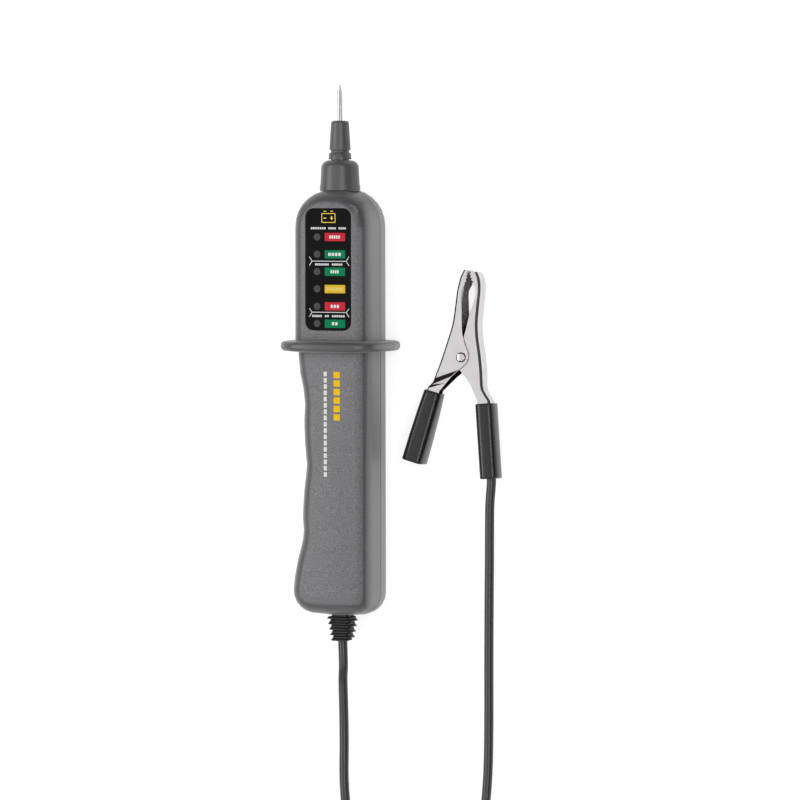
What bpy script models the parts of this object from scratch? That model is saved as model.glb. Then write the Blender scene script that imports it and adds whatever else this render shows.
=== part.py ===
"""A handheld 12 V battery and alternator tester with a probe needle, six lamps and a clip lead.

The tester lies on its back on a table, on the rear edge of its finger guard and on its tail, with the
display facing up. +Y runs towards the probe tip and +X to the right of the display. Everything is in
metres. The tester's own frame has its origin on the probe's axis, inside the finger guard.
"""
import math

import bmesh
import bpy
from mathutils import Matrix, Vector

# Clearances
SEAT_GAP = 0.0003
SLIDE_GAP = 0.00015
PARTING_GAP = 0.0002
WELD_DISTANCE = 0.000002

# Housing, measured from the parting plane of the two shells
HALF_WIDTH = 0.0171
FRONT_HEIGHT = 0.01345
REAR_DEPTH = 0.0098
FACE_INSET = 0.0061
FACE_RISE = 0.00225
FRONT_LEAN = 0.0012
FRONT_ROUNDING = 0.0081
REAR_LEAN = 0.0003
REAR_ROUNDING = 0.0042
REAR_FACE_INSET = 0.0063
WALL = 0.0020
DOME_START = 0.0483
DOME_RADIUS = 0.0150
TAIL_Y = -0.1072
TAIL_CROWN = 0.0005
TAIL_RADIUS_RIGHT = 0.0087
TAIL_RADIUS_LEFT = 0.0099
TAIL_HALF_WIDTH = 0.01735
HEEL_WIDTH = 0.0180

# Finger grooves: the left edge from the guard to the heel, as (distance along, half width)
FINGER_EDGE = (
    (-0.0035, 0.0157),
    (-0.0110, 0.0149),
    (-0.0163, 0.0137),
    (-0.0225, 0.0130),
    (-0.0285, 0.0133),
    (-0.0370, 0.0131),
    (-0.0430, 0.0126),
    (-0.0467, 0.0122),
    (-0.0510, 0.0126),
    (-0.0565, 0.0133),
    (-0.0680, 0.0140),
    (-0.0730, 0.0136),
    (-0.0765, 0.0139),
    (-0.0805, 0.0149),
    (-0.0850, 0.0161),
    (-0.0910, 0.0173),
)

# Lip that locates the shells in each other
LIP_HEIGHT = 0.0010
LIP_SETBACK = 0.0012
LIP_THICKNESS = 0.00065
SPARE = 0.0005

# Finger guard
GUARD_Y = 0.0006
GUARD_THICKNESS = 0.0039
GUARD_ROOT_THICKNESS = 0.0048
GUARD_REACH = 0.0059
GUARD_ROUNDING = 0.0017

# Probe
TIP_Y = 0.1051
NEEDLE_RADIUS = 0.0010
NEEDLE_INNER_Y = 0.0534
POINT_LENGTH = 0.0045
POINT_TURN = math.radians(25)
SLEEVE_TOP_Y = 0.0904
SLEEVE_TOP_RADIUS = 0.00365
SLEEVE_FOOT_Y = 0.0785
SLEEVE_FOOT_RADIUS = 0.0043
SLEEVE_EDGE = 0.0011
GROOVE_RADIUS = 0.0037
GROOVE_WIDTH = 0.0008
RING_RADIUS = 0.00465
RING_TOP_RADIUS = 0.0044
STEM_RADIUS = 0.0036
FLANGE_RADIUS = 0.0050
FLANGE_HEIGHT = 0.0020
COLLAR_TOP_Y = 0.0746
COLLAR_RADIUS = 0.00785
COLLAR_NARROW_RADIUS = 0.00755
COLLAR_FLARE = 0.00025
COLLAR_FLARE_Y = 0.0652
COLLAR_TOP_RADIUS = 0.0045
COLLAR_SHOULDER = 0.0031
COLLAR_ROOF = 0.0028
NECK_RADIUS = 0.0059

# Label and lamps
LABEL_WIDTH = 0.0192
LABEL_LOW_Y = 0.0071
LABEL_HIGH_Y = 0.0555
LABEL_CORNER = 0.0033
LABEL_THICKNESS = 0.0004
LAMP_COUNT = 6
LAMP_X = -0.0047
LAMP_FIRST_Y = 0.0442
LAMP_PITCH = 0.00688
LAMP_RADIUS = 0.0013
LAMP_FLANGE_RADIUS = 0.0016
LAMP_FLANGE_Z = 0.0083
LAMP_FLANGE_HEIGHT = 0.0007
LAMP_LEG = 0.0005
LAMP_LEG_SPACING = 0.0013

# Circuit board and what is on it
BOARD_WIDTH = 0.0230
BOARD_LOW_Y = 0.0030
BOARD_HIGH_Y = 0.0500
BOARD_THICKNESS = 0.0016
BOARD_TOP_Z = 0.0053
BOARD_CORNER = 0.0010
CHIP_LENGTH = 0.0087
CHIP_WIDTH = 0.0039
CHIP_HEIGHT = 0.0015
CHIP_Y = 0.0270
CHIP_LEGS_A_SIDE = 7
CHIP_LEG_PITCH = 0.00127
CHIP_LEG_WIDTH = 0.0004
CHIP_LEG_REACH = 0.0011
RESISTOR_COUNT = 5
RESISTOR_X = 0.0030
RESISTOR_LENGTH = 0.0060
RESISTOR_RADIUS = 0.0011
RESISTOR_LEAD = 0.0003
RESISTOR_LEAD_LENGTH = 0.0012
DIODE_Y = 0.0060
DIODE_LENGTH = 0.0052
DIODE_RADIUS = 0.0013
DIODE_LEAD = 0.0004
POST_RADIUS = 0.0017
POST_X = 0.0093
POST_LOW_Y = 0.0070
POST_HIGH_Y = 0.0460

# Shell screws, as (across, along)
SCREW_PLACES = ((-0.0090, 0.0540), (0.0090, 0.0540), (0.0015, -0.0280), (0.0015, -0.0880))
SCREW_RADIUS = 0.0011
SCREW_LENGTH = 0.0125
SCREW_HEAD_RADIUS = 0.0026
SCREW_HEAD_HEIGHT = 0.0016
SCREW_SEAT_Z = -0.0044
SCREW_SLOT = 0.0006
SCREW_SLOT_DEPTH = 0.0008
BOSS_RADIUS = 0.0034
BOSS_PILOT_DEPTH = 0.0095

# Strain relief
RELIEF_X = 0.0010
RELIEF_LENGTH = 0.0100
RELIEF_RIBS = 9
RELIEF_HEAD = 0.0047
RELIEF_FOOT = 0.0036
RELIEF_HEAD_DEPTH = 0.0047
RELIEF_FOOT_DEPTH = 0.0034
RELIEF_STAGGER = 0.00045
RELIEF_GROOVE = 0.0004
RELIEF_NECK = 0.0036
RELIEF_FLANGE = 0.0048
RELIEF_FLANGE_THICKNESS = 0.0016
RELIEF_CHAMFER = 0.0008

# Lead
LEAD_RADIUS = 0.0019
LEAD_POINT_SPACING = 0.0060
PROBE_WIRE_RADIUS = 0.0006

# Coil of the spare lead
COIL_CENTRE_X = 0.0307
COIL_CENTRE_Y = -0.2100
COIL_MEAN_RADIUS = 0.0200
COIL_HALF_WIDTH = 0.0055
COIL_HEIGHT = 0.0067
COIL_LIFT = 0.0008
COIL_EDGE = 0.0017
TIE_WIDTH = 0.0045
TIE_THICKNESS = 0.0004
TIE_AZIMUTH = math.radians(-60)

# Crocodile clip, measured from its rivet; the first point of a pair is on the fold, the second on the mouth
CLIP_X = 0.0497
CLIP_Y = 0.0032
CLIP_Z = 0.0060
SHEET = 0.0007
FOLD_ROUNDING = 0.0009
FREE_HALF_DEPTH = 0.0051
FREE_HANDLE_HALF_DEPTH = 0.0028
FIXED_HALF_DEPTH = 0.0041
FIXED_HANDLE_HALF_DEPTH = 0.0036
NARROWING_START = -0.0065
NARROWING_END = -0.0130
FREE_ARM = (
    ((0.0002, 0.0349), (0.0013, 0.0346)),
    ((-0.0011, 0.0323), (0.0014, 0.0320)),
    ((-0.0019, 0.0294), (0.0008, 0.0292)),
    ((-0.0026, 0.0260), (-0.0006, 0.0266)),
    ((-0.0030, 0.0225), (-0.0006, 0.0225)),
    ((-0.0036, 0.0175), (-0.0003, 0.0175)),
    ((-0.0043, 0.0128), (0.0000, 0.0128)),
    ((-0.0057, 0.0081), (0.0004, 0.0083)),
    ((-0.0069, 0.0043), (0.0016, 0.0044)),
    ((-0.0081, 0.0006), (0.0029, 0.0012)),
    ((-0.0092, -0.0027), (0.0022, -0.0020)),
    ((-0.0108, -0.0069), (-0.0009, -0.0049)),
    ((-0.0122, -0.0099), (-0.0043, -0.0076)),
)
FIXED_ARM = (
    ((0.0054, 0.0340), (0.0028, 0.0344)),
    ((0.0064, 0.0318), (0.0030, 0.0320)),
    ((0.0069, 0.0290), (0.0044, 0.0290)),
    ((0.0069, 0.0257), (0.0051, 0.0264)),
    ((0.0066, 0.0225), (0.0048, 0.0232)),
    ((0.0062, 0.0175), (0.0029, 0.0175)),
    ((0.0060, 0.0132), (0.0018, 0.0128)),
    ((0.0063, 0.0087), (0.0006, 0.0083)),
    ((0.0069, 0.0047), (-0.0018, 0.0046)),
    ((0.0075, 0.0012), (-0.0032, 0.0012)),
    ((0.0079, -0.0020), (-0.0029, -0.0022)),
    ((0.0083, -0.0055), (-0.0003, -0.0057)),
    ((0.0085, -0.0090), (0.0027, -0.0092)),
    ((0.0089, -0.0128), (0.0044, -0.0125)),
)
FREE_GRIP_TOP = (-0.0127, -0.0138)
FREE_GRIP_FOOT = (-0.0207, -0.0419)
FIXED_GRIP_TOP = (0.0092, -0.0182)
FIXED_GRIP_FOOT = (0.0118, -0.0480)
HANDLE_HALF_WIDTH = 0.0026
HANDLE_LEAD_IN = 0.0010
FREE_HANDLE_LENGTH = 0.0240
FIXED_HANDLE_LENGTH = 0.0190
TOOTH_PITCH = 0.0012
TOOTH_DEPTH = 0.0005
TEETH_LENGTH = 0.0048
RIVET_RADIUS = 0.0012
RIVET_HEAD_RADIUS = 0.0020
RIVET_HEAD_HEIGHT = 0.0007
GRIP_WALL = 0.0008
GRIP_CORNER = 0.0021
GRIP_BORE_CORNER = 0.0007
FREE_GRIP_FOOT_HALF = (0.0042, 0.0053)
FIXED_GRIP_FOOT_HALF = (0.0037, 0.0046)
CRIMP_RADIUS = 0.0022
CRIMP_LENGTH = 0.0066
SPRING_RADIUS = 0.0025
SPRING_WIRE_RADIUS = 0.0004
SPRING_PITCH = 0.00095
SPRING_TURNS = 3
SPRING_FIXED_FOOT = (0.0071, -0.0095)
SPRING_FREE_FOOT = (-0.0096, -0.0072)

# Facets
ROUND_STEPS = 20
SMALL_ROUND_STEPS = 10
LAMP_STEPS = 10
COLLAR_STEPS = 24
RESISTOR_STEPS = 8
PILLAR_STEPS = 8
CREASE_ANGLE = math.radians(24)
FOLD_CREASE_ANGLE = math.radians(50)


def material(name, colour, roughness, metallic=0.0):
    """A plain finish for one kind of piece."""
    made = bpy.data.materials.new(name)
    made.use_nodes = True
    shader = made.node_tree.nodes["Principled BSDF"]
    shader.inputs["Base Color"].default_value = (*colour, 1.0)
    shader.inputs["Roughness"].default_value = roughness
    shader.inputs["Metallic"].default_value = metallic
    return made


def shade(data, crease=math.radians(35)):
    """Smooth shading, with edges steeper than the crease angle left sharp."""
    data.shade_smooth()
    data.set_sharp_from_angle(angle=crease)


def solid(name, mesh, finish):
    """An object made from a bmesh, shaded smooth across its gentle edges."""
    data = bpy.data.meshes.new(name)
    mesh.to_mesh(data)
    mesh.free()
    shade(data)
    made = bpy.data.objects.new(name, data)
    bpy.context.scene.collection.objects.link(made)
    if finish:
        data.materials.append(finish)
    return made


def weld(data):
    """Merges the points that a boolean leaves almost on top of each other."""
    mesh = bmesh.new()
    mesh.from_mesh(data)
    bmesh.ops.remove_doubles(mesh, verts=mesh.verts, dist=WELD_DISTANCE)
    bmesh.ops.dissolve_degenerate(mesh, edges=mesh.edges, dist=WELD_DISTANCE)
    mesh.to_mesh(data)
    mesh.free()


def combine(target, tool, operation):
    """Joins or cuts the target with the tool, and removes the tool."""
    modifier = target.modifiers.new(operation, "BOOLEAN")
    modifier.operation = operation
    modifier.solver = "EXACT"
    modifier.object = tool
    bpy.context.view_layer.update()
    seen = target.evaluated_get(bpy.context.evaluated_depsgraph_get())
    made = bpy.data.meshes.new_from_object(seen)
    target.modifiers.clear()
    target.data = made
    weld(made)
    shade(made)
    bpy.data.objects.remove(tool)


def loft(rings, closed=False):
    """A skin over rings of points: capped at both ends, or joined end to end."""
    mesh = bmesh.new()
    layers = [[mesh.verts.new(point) for point in ring] for ring in rings]
    pairs = list(zip(layers, layers[1:]))
    if closed:
        pairs.append((layers[-1], layers[0]))
    for lower, upper in pairs:
        for k in range(len(lower)):
            m = (k + 1) % len(lower)
            mesh.faces.new((lower[k], lower[m], upper[m], upper[k]))
    if not closed:
        mesh.faces.new(layers[0])
        mesh.faces.new(layers[-1])
    bmesh.ops.recalc_face_normals(mesh, faces=mesh.faces)
    return mesh


def turned(profile, steps=ROUND_STEPS, closed=False):
    """A profile of (radius, height) turned about Z; a closed profile leaves a bore."""
    rings = []
    for radius, height in profile:
        ring = []
        for k in range(steps):
            angle = math.tau * (k + 0.5) / steps
            ring.append((radius * math.cos(angle), radius * math.sin(angle), height))
        rings.append(ring)
    return loft(rings, closed)


def box(low, high):
    """A closed box between two corners."""
    mesh = bmesh.new()
    size = [b - a for a, b in zip(low, high)]
    middle = [(a + b) / 2 for a, b in zip(low, high)]
    bmesh.ops.create_cube(mesh, size=1.0, matrix=Matrix.Translation(middle) @ Matrix.Diagonal((*size, 1.0)))
    return mesh


def joined(meshes):
    """Several separate closed bodies in one bmesh."""
    whole = bmesh.new()
    for mesh in meshes:
        piece = bpy.data.meshes.new("piece")
        mesh.to_mesh(piece)
        mesh.free()
        whole.from_mesh(piece)
        bpy.data.meshes.remove(piece)
    return whole


def moved(mesh, matrix):
    """The same bmesh after a transform."""
    bmesh.ops.transform(mesh, matrix=matrix, verts=mesh.verts)
    return mesh


def along_y(mesh):
    """Lays a piece that was made about Z along the probe's axis."""
    return moved(mesh, Matrix.Rotation(-math.pi / 2, 4, "X"))


def upright(x, y, radius, low, high, steps=SMALL_ROUND_STEPS):
    """A cylinder parallel to Z."""
    return moved(turned([(radius, low), (radius, high)], steps), Matrix.Translation((x, y, 0)))


def clear_side(target, height, above):
    """Cuts away everything above or below a level plane."""
    far = 10 * HALF_WIDTH
    low, high = (height, far) if above else (-far, height)
    combine(target, solid("tool", box((-far, -far, low), (far, far, high)), None), "DIFFERENCE")


def arc(centre, radius, start, end, steps):
    """Points on a circle, both ends included; angles in radians."""
    points = []
    for k in range(steps + 1):
        angle = start + (end - start) * k / steps
        points.append((centre[0] + radius * math.cos(angle), centre[1] + radius * math.sin(angle)))
    return points


def rounded_corner(before, corner, after, radius, steps):
    """The points that replace a corner when it is rounded."""
    a, c, b = Vector(before), Vector(corner), Vector(after)
    to_a, to_b = (a - c).normalized(), (b - c).normalized()
    half = to_a.angle(to_b) / 2
    centre = c + (to_a + to_b).normalized() * (radius / math.sin(half))
    first = c + to_a * (radius / math.tan(half))
    last = c + to_b * (radius / math.tan(half))
    turn = (first - centre).angle_signed(last - centre)
    points = []
    for k in range(steps + 1):
        # Vector.angle_signed is clockwise positive, as is the rotation taken here
        spin = Matrix.Rotation(-turn * k / steps, 2)
        points.append(tuple(centre + spin @ (first - centre)))
    return points


def rounded_rectangle(low, high, radius, steps):
    """An outline with round corners, counterclockwise."""
    (x0, y0), (x1, y1) = low, high
    quarter = math.pi / 2
    centres = ((x1 - radius, y0 + radius), (x1 - radius, y1 - radius), (x0 + radius, y1 - radius), (x0 + radius, y0 + radius))
    points = []
    for k, centre in enumerate(centres):
        points += arc(centre, radius, (k - 1) * quarter, k * quarter, steps)
    return points


def smooth_path(points, spacing):
    """A smooth curve through the points, read off at about the given spacing."""
    places = [Vector(p) for p in points]
    places = [2 * places[0] - places[1], *places, 2 * places[-1] - places[-2]]
    path = [places[1]]
    for a, b, c, d in zip(places, places[1:], places[2:], places[3:]):
        steps = max(1, round((c - b).length / spacing))
        for k in range(1, steps + 1):
            t = k / steps
            bend = (2 * a - 5 * b + 4 * c - d) * t**2 + (3 * b - a - 3 * c + d) * t**3
            path.append(b + ((c - a) * t + bend) / 2)
    return path


def offset_outline(outline, distance):
    """A closed counterclockwise outline moved inwards by the distance."""
    moved_points = []
    for k, point in enumerate(outline):
        here = Vector(point)
        back = (here - Vector(outline[k - 1])).normalized()
        ahead = (Vector(outline[(k + 1) % len(outline)]) - here).normalized()
        normals = Vector((-back.y, back.x)), Vector((-ahead.y, ahead.x))
        both = normals[0] + normals[1]
        moved_points.append(tuple(here + both * (distance / (1 + normals[0].dot(normals[1])))))
    return moved_points


def housing_outline():
    """The widest outline of the housing, in the parting plane, counterclockwise from the front."""
    flat = HALF_WIDTH - DOME_RADIUS
    quarter = math.pi / 2
    outline = arc((flat, DOME_START), DOME_RADIUS, 0, quarter, 7)
    outline += arc((-flat, DOME_START), DOME_RADIUS, quarter, math.pi, 7)
    outline += [(-HALF_WIDTH, GUARD_Y + 0.0010), (-FINGER_EDGE[0][1] - 0.0002, GUARD_Y - 0.0014)]
    heel_y = TAIL_Y + TAIL_RADIUS_LEFT
    edge = [*FINGER_EDGE, (heel_y, HEEL_WIDTH)]
    outline += [(-p.y, p.x) for p in smooth_path(edge, 0.0055)][:-1]
    outline += arc((TAIL_RADIUS_LEFT - HEEL_WIDTH, heel_y), TAIL_RADIUS_LEFT, math.pi, 1.45 * math.pi, 5)
    outline.append((RELIEF_X, TAIL_Y - TAIL_CROWN))
    right = TAIL_HALF_WIDTH - TAIL_RADIUS_RIGHT, TAIL_Y + TAIL_RADIUS_RIGHT
    outline += arc(right, TAIL_RADIUS_RIGHT, 1.55 * math.pi, math.tau, 5)
    return outline


def front_profile(wall=0.0):
    """(inset, height) from the parting plane to the front face, or of a wall's inner side."""
    foot = (wall, 0.0)
    corner = (FRONT_LEAN + wall, FRONT_HEIGHT - FACE_RISE - wall)
    face = (FACE_INSET + wall, FRONT_HEIGHT - wall)
    steps = 2 if wall else 5
    return [foot, *rounded_corner(foot, corner, face, FRONT_ROUNDING - wall, steps), face]


def rear_profile(wall=0.0):
    """(inset, depth) from the parting plane to the rear face, or of a wall's inner side."""
    foot = (wall, 0.0)
    corner = (REAR_LEAN + wall, REAR_DEPTH - wall)
    face = (REAR_FACE_INSET + wall, REAR_DEPTH - wall)
    steps = 2 if wall else 4
    return [foot, *rounded_corner(foot, corner, face, REAR_ROUNDING - wall, steps), face]


def housing_ring(inset, height):
    """The housing's outline moved inwards, at one height."""
    return [(x, y, height) for x, y in offset_outline(housing_outline(), inset)]


def front_shell_skin():
    """The front shell's skin, which runs past the parting plane, with the rebate for the rear shell's lip."""
    inside = front_profile(WALL)[1:]
    rings = [housing_ring(inset, height) for inset, height in reversed(inside)]
    rim = LIP_SETBACK - SEAT_GAP
    lip_top = LIP_HEIGHT + SEAT_GAP
    rings += [housing_ring(WALL, lip_top), housing_ring(rim, lip_top), housing_ring(rim, -SPARE)]
    rings.append(housing_ring(0.0, -SPARE))
    rings += [housing_ring(inset, height) for inset, height in front_profile()[1:]]
    return loft(rings)


def rear_shell_skin():
    """The rear shell's skin, which runs past the parting plane."""
    inside = rear_profile(WALL)[1:]
    rings = [housing_ring(inset, -depth) for inset, depth in reversed(inside)]
    rings += [housing_ring(WALL, SPARE), housing_ring(0.0, SPARE)]
    rings += [housing_ring(inset, -depth) for inset, depth in rear_profile()[1:]]
    return loft(rings)


def make_lip():
    """The rear shell's lip: a low wall that stops at the neck."""
    near, far = LIP_SETBACK, LIP_SETBACK + LIP_THICKNESS
    rings = [housing_ring(near, -LIP_HEIGHT), housing_ring(far, -LIP_HEIGHT)]
    rings += [housing_ring(far, LIP_HEIGHT), housing_ring(near, LIP_HEIGHT)]
    lip = solid("tool", loft(rings, closed=True), None)
    half = NECK_RADIUS + SEAT_GAP
    block = box((-half, neck_root() - WALL, -2 * LIP_HEIGHT), (half, neck_top(), 2 * LIP_HEIGHT))
    combine(lip, solid("tool", block, None), "DIFFERENCE")
    return lip


def housing_envelope(clearance):
    """The whole housing, larger by a clearance, for cutting what seats on it."""
    rings = [housing_ring(inset - clearance, -depth - clearance) for inset, depth in reversed(rear_profile())]
    rings += [housing_ring(inset - clearance, height + clearance) for inset, height in front_profile()]
    return loft(rings)


def guard_section():
    """The housing's cross-section at the guard, as (across, height), counterclockwise seen from the tail."""
    front = [(HALF_WIDTH - inset, height) for inset, height in front_profile()]
    rear = [(HALF_WIDTH - inset, -depth) for inset, depth in rear_profile()[1:]]
    right = rear[::-1] + front
    return right + [(-x, z) for x, z in reversed(right)]


def guard_edge():
    """(distance along, inset from the rim) over the guard's rounded edge."""
    half = GUARD_THICKNESS / 2
    turn = arc((GUARD_ROUNDING - half, GUARD_ROUNDING), GUARD_ROUNDING, math.pi, 1.5 * math.pi, 4)
    turn += [(-y, inset) for y, inset in reversed(turn)]
    return [(GUARD_Y + y, inset) for y, inset in turn]


def guard_ring():
    """The finger guard: a ring round the housing, thicker at its root, that reaches into the wall."""
    section = guard_section()
    rings = []
    for y, inset in guard_edge():
        rings.append([(x, y, z) for x, z in offset_outline(section, inset - GUARD_REACH)])
    half = GUARD_ROOT_THICKNESS / 2
    for y in (GUARD_Y + half, GUARD_Y - half):
        rings.append([(x, y, z) for x, z in offset_outline(section, WALL / 4)])
    return loft(rings, closed=True)


def neck_top():
    """Where the shells' necks end under the collar's roof."""
    return COLLAR_TOP_Y - COLLAR_ROOF - SEAT_GAP


def neck_root():
    """Where the necks start, inside the dome's wall."""
    return DOME_START + DOME_RADIUS - WALL - 0.0006


def neck():
    """The stub on the dome that both shells share and the collar grips."""
    return along_y(turned([(NECK_RADIUS, neck_root()), (NECK_RADIUS, neck_top())]))


def relief_opening():
    """The square opening in the tail wall that the strain relief's neck goes through."""
    half = RELIEF_NECK + SEAT_GAP
    low = (RELIEF_X - half, TAIL_Y - 2 * TAIL_CROWN, -half)
    return box(low, (RELIEF_X + half, TAIL_Y + 2 * WALL, half))


def post_places():
    """Where the four board posts stand."""
    return [(x, y) for x in (-POST_X, POST_X) for y in (POST_LOW_Y, POST_HIGH_Y)]


def label_recess_floor():
    """Height of the recess that takes the label."""
    return FRONT_HEIGHT - LABEL_THICKNESS - SEAT_GAP


def lamp_places():
    """Distance along the axis of each lamp, from the probe end."""
    return [LAMP_FIRST_Y - k * LAMP_PITCH for k in range(LAMP_COUNT)]


def label_outline(clearance):
    """The label's outline, larger by a clearance."""
    half = LABEL_WIDTH / 2 + clearance
    low, high = (-half, LABEL_LOW_Y - clearance), (half, LABEL_HIGH_Y + clearance)
    return rounded_rectangle(low, high, LABEL_CORNER + clearance, 5)


def plate(outline, low, high):
    """A flat plate with the given outline."""
    return loft([[(x, y, low) for x, y in outline], [(x, y, high) for x, y in outline]])


def make_front_shell(finish):
    """Front shell: skin, half of the guard and neck, bosses and posts, label recess and lamp holes."""
    shell = solid("front_shell", front_shell_skin(), finish)
    combine(shell, solid("tool", joined([guard_ring(), neck()]), None), "UNION")
    clear_side(shell, PARTING_GAP / 2, False)
    ceiling = FRONT_HEIGHT - WALL / 2
    pillars = [upright(x, y, BOSS_RADIUS - SEAT_GAP, SEAT_GAP, ceiling) for x, y in SCREW_PLACES]
    foot = BOARD_TOP_Z + SEAT_GAP
    pillars += [upright(x, y, POST_RADIUS, foot, ceiling, PILLAR_STEPS) for x, y in post_places()]
    combine(shell, solid("tool", joined(pillars), None), "UNION")
    pilot = SCREW_RADIUS + SLIDE_GAP
    holes = [upright(x, y, pilot, -SEAT_GAP, BOSS_PILOT_DEPTH, PILLAR_STEPS) for x, y in SCREW_PLACES]
    combine(shell, solid("tool", joined(holes), None), "DIFFERENCE")
    recess = plate(label_outline(SLIDE_GAP), label_recess_floor(), FRONT_HEIGHT + WALL)
    combine(shell, solid("tool", recess, None), "DIFFERENCE")
    lamp_hole = LAMP_RADIUS + SEAT_GAP
    low, high = FRONT_HEIGHT - 2 * WALL, FRONT_HEIGHT
    holes = [upright(LAMP_X, y, lamp_hole, low, high, LAMP_STEPS) for y in lamp_places()]
    combine(shell, solid("tool", joined(holes), None), "DIFFERENCE")
    cut_for_probe_and_lead(shell)
    shade(shell.data, CREASE_ANGLE)
    return shell


def make_rear_shell(finish):
    """Rear shell: skin with lip, half of the guard and neck, bosses with counterbores, and posts."""
    shell = solid("rear_shell", rear_shell_skin(), finish)
    combine(shell, solid("tool", joined([guard_ring(), neck()]), None), "UNION")
    clear_side(shell, -PARTING_GAP / 2, True)
    combine(shell, make_lip(), "UNION")
    floor = WALL / 2 - REAR_DEPTH
    pillars = [upright(x, y, BOSS_RADIUS, floor, -SEAT_GAP) for x, y in SCREW_PLACES]
    head = board_bottom() - SEAT_GAP
    pillars += [upright(x, y, POST_RADIUS, floor, head, PILLAR_STEPS) for x, y in post_places()]
    combine(shell, solid("tool", joined(pillars), None), "UNION")
    head = SCREW_HEAD_RADIUS + SEAT_GAP
    holes = [upright(x, y, head, -REAR_DEPTH - WALL, SCREW_SEAT_Z) for x, y in SCREW_PLACES]
    combine(shell, solid("tool", joined(holes), None), "DIFFERENCE")
    through = SCREW_RADIUS + SEAT_GAP
    holes = [upright(x, y, through, SCREW_SEAT_Z - WALL, 0.0, PILLAR_STEPS) for x, y in SCREW_PLACES]
    combine(shell, solid("tool", joined(holes), None), "DIFFERENCE")
    cut_for_probe_and_lead(shell)
    shade(shell.data, CREASE_ANGLE)
    return shell


def cut_for_probe_and_lead(shell):
    """The bore for the probe sleeve's stem and the opening for the strain relief's neck."""
    bore = STEM_RADIUS + SEAT_GAP
    stem = along_y(turned([(bore, neck_root() - WALL), (bore, COLLAR_TOP_Y)]))
    combine(shell, solid("tool", stem, None), "DIFFERENCE")
    combine(shell, solid("tool", relief_opening(), None), "DIFFERENCE")


def make_collar(finish):
    """The ring over the shells' necks, its foot following the dome."""
    inner = NECK_RADIUS + SEAT_GAP
    hole = STEM_RADIUS + SEAT_GAP
    foot_y = DOME_START + DOME_RADIUS / 2
    roof_y = COLLAR_TOP_Y - COLLAR_ROOF
    centre = COLLAR_NARROW_RADIUS - COLLAR_SHOULDER, COLLAR_TOP_Y - COLLAR_SHOULDER
    shoulder = arc(centre, COLLAR_SHOULDER, 0, math.pi / 2, 5)
    shoulder = [(radius, y) for radius, y in shoulder if radius > COLLAR_TOP_RADIUS]
    foot = COLLAR_RADIUS + COLLAR_FLARE
    profile = [(inner, foot_y), (foot, foot_y), (foot, COLLAR_FLARE_Y - 4 * COLLAR_FLARE)]
    profile += [(COLLAR_RADIUS, COLLAR_FLARE_Y), *shoulder]
    profile += [(COLLAR_TOP_RADIUS, COLLAR_TOP_Y), (hole, COLLAR_TOP_Y), (hole, roof_y), (inner, roof_y)]
    collar = solid("probe_collar", along_y(turned(profile, COLLAR_STEPS, closed=True)), finish)
    combine(collar, solid("tool", housing_envelope(SEAT_GAP), None), "DIFFERENCE")
    return collar


def make_sleeve(finish):
    """The insulating sleeve: tapered nose, groove, ring, stem and the flange inside the housing."""
    bore = NEEDLE_RADIUS + SLIDE_GAP
    ring_top = SLEEVE_FOOT_Y - GROOVE_WIDTH
    ring_foot = COLLAR_TOP_Y + SEAT_GAP
    flange_top = DOME_START + DOME_RADIUS - WALL - SEAT_GAP - 0.0004
    soft = GROOVE_WIDTH / 2
    top = arc((SLEEVE_TOP_RADIUS - SLEEVE_EDGE, SLEEVE_TOP_Y - SLEEVE_EDGE), SLEEVE_EDGE, 0, math.pi / 2, 3)
    outside = [(FLANGE_RADIUS, flange_top - FLANGE_HEIGHT), (FLANGE_RADIUS, flange_top), (STEM_RADIUS, flange_top)]
    outside += [(STEM_RADIUS, ring_foot), (RING_RADIUS, ring_foot)]
    outside += [(RING_TOP_RADIUS, ring_top - soft), (RING_TOP_RADIUS - soft, ring_top), (GROOVE_RADIUS, ring_top)]
    outside += [(GROOVE_RADIUS, SLEEVE_FOOT_Y), (SLEEVE_FOOT_RADIUS - soft, SLEEVE_FOOT_Y)]
    outside += [(SLEEVE_FOOT_RADIUS, SLEEVE_FOOT_Y + soft), *top]
    profile = [(bore, flange_top - FLANGE_HEIGHT), *outside, (bore, SLEEVE_TOP_Y)]
    return solid("probe_sleeve", along_y(turned(profile, closed=True)), finish)


def make_needle(finish):
    """The steel needle with its three ground facets, which meet in the point."""
    foot, shoulder = [], []
    for k in range(ROUND_STEPS):
        around = math.tau * k / ROUND_STEPS
        x, z = NEEDLE_RADIUS * math.cos(around), NEEDLE_RADIUS * math.sin(around)
        off_facet = (around + math.tau / 6) % (math.tau / 3) - math.tau / 6
        foot.append((x, NEEDLE_INNER_Y, z))
        shoulder.append((x, TIP_Y - POINT_LENGTH * math.cos(off_facet), z))
    needle = loft([foot, shoulder])
    needle.faces.ensure_lookup_table()
    point = bmesh.ops.poke(needle, faces=[needle.faces[-1]])["verts"][0]
    point.co = (0, TIP_Y, 0)
    bmesh.ops.rotate(needle, verts=needle.verts, matrix=Matrix.Rotation(POINT_TURN, 3, "Y"))
    return solid("probe_needle", needle, finish)


def make_label(finish):
    """The printed film, with a hole for each lamp."""
    low = FRONT_HEIGHT - LABEL_THICKNESS
    label = solid("display_label", plate(label_outline(0), low, FRONT_HEIGHT), finish)
    radius = LAMP_RADIUS + SLIDE_GAP
    high = FRONT_HEIGHT + WALL
    holes = [upright(LAMP_X, y, radius, low - WALL, high, LAMP_STEPS) for y in lamp_places()]
    combine(label, solid("tool", joined(holes), None), "DIFFERENCE")
    return label


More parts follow.
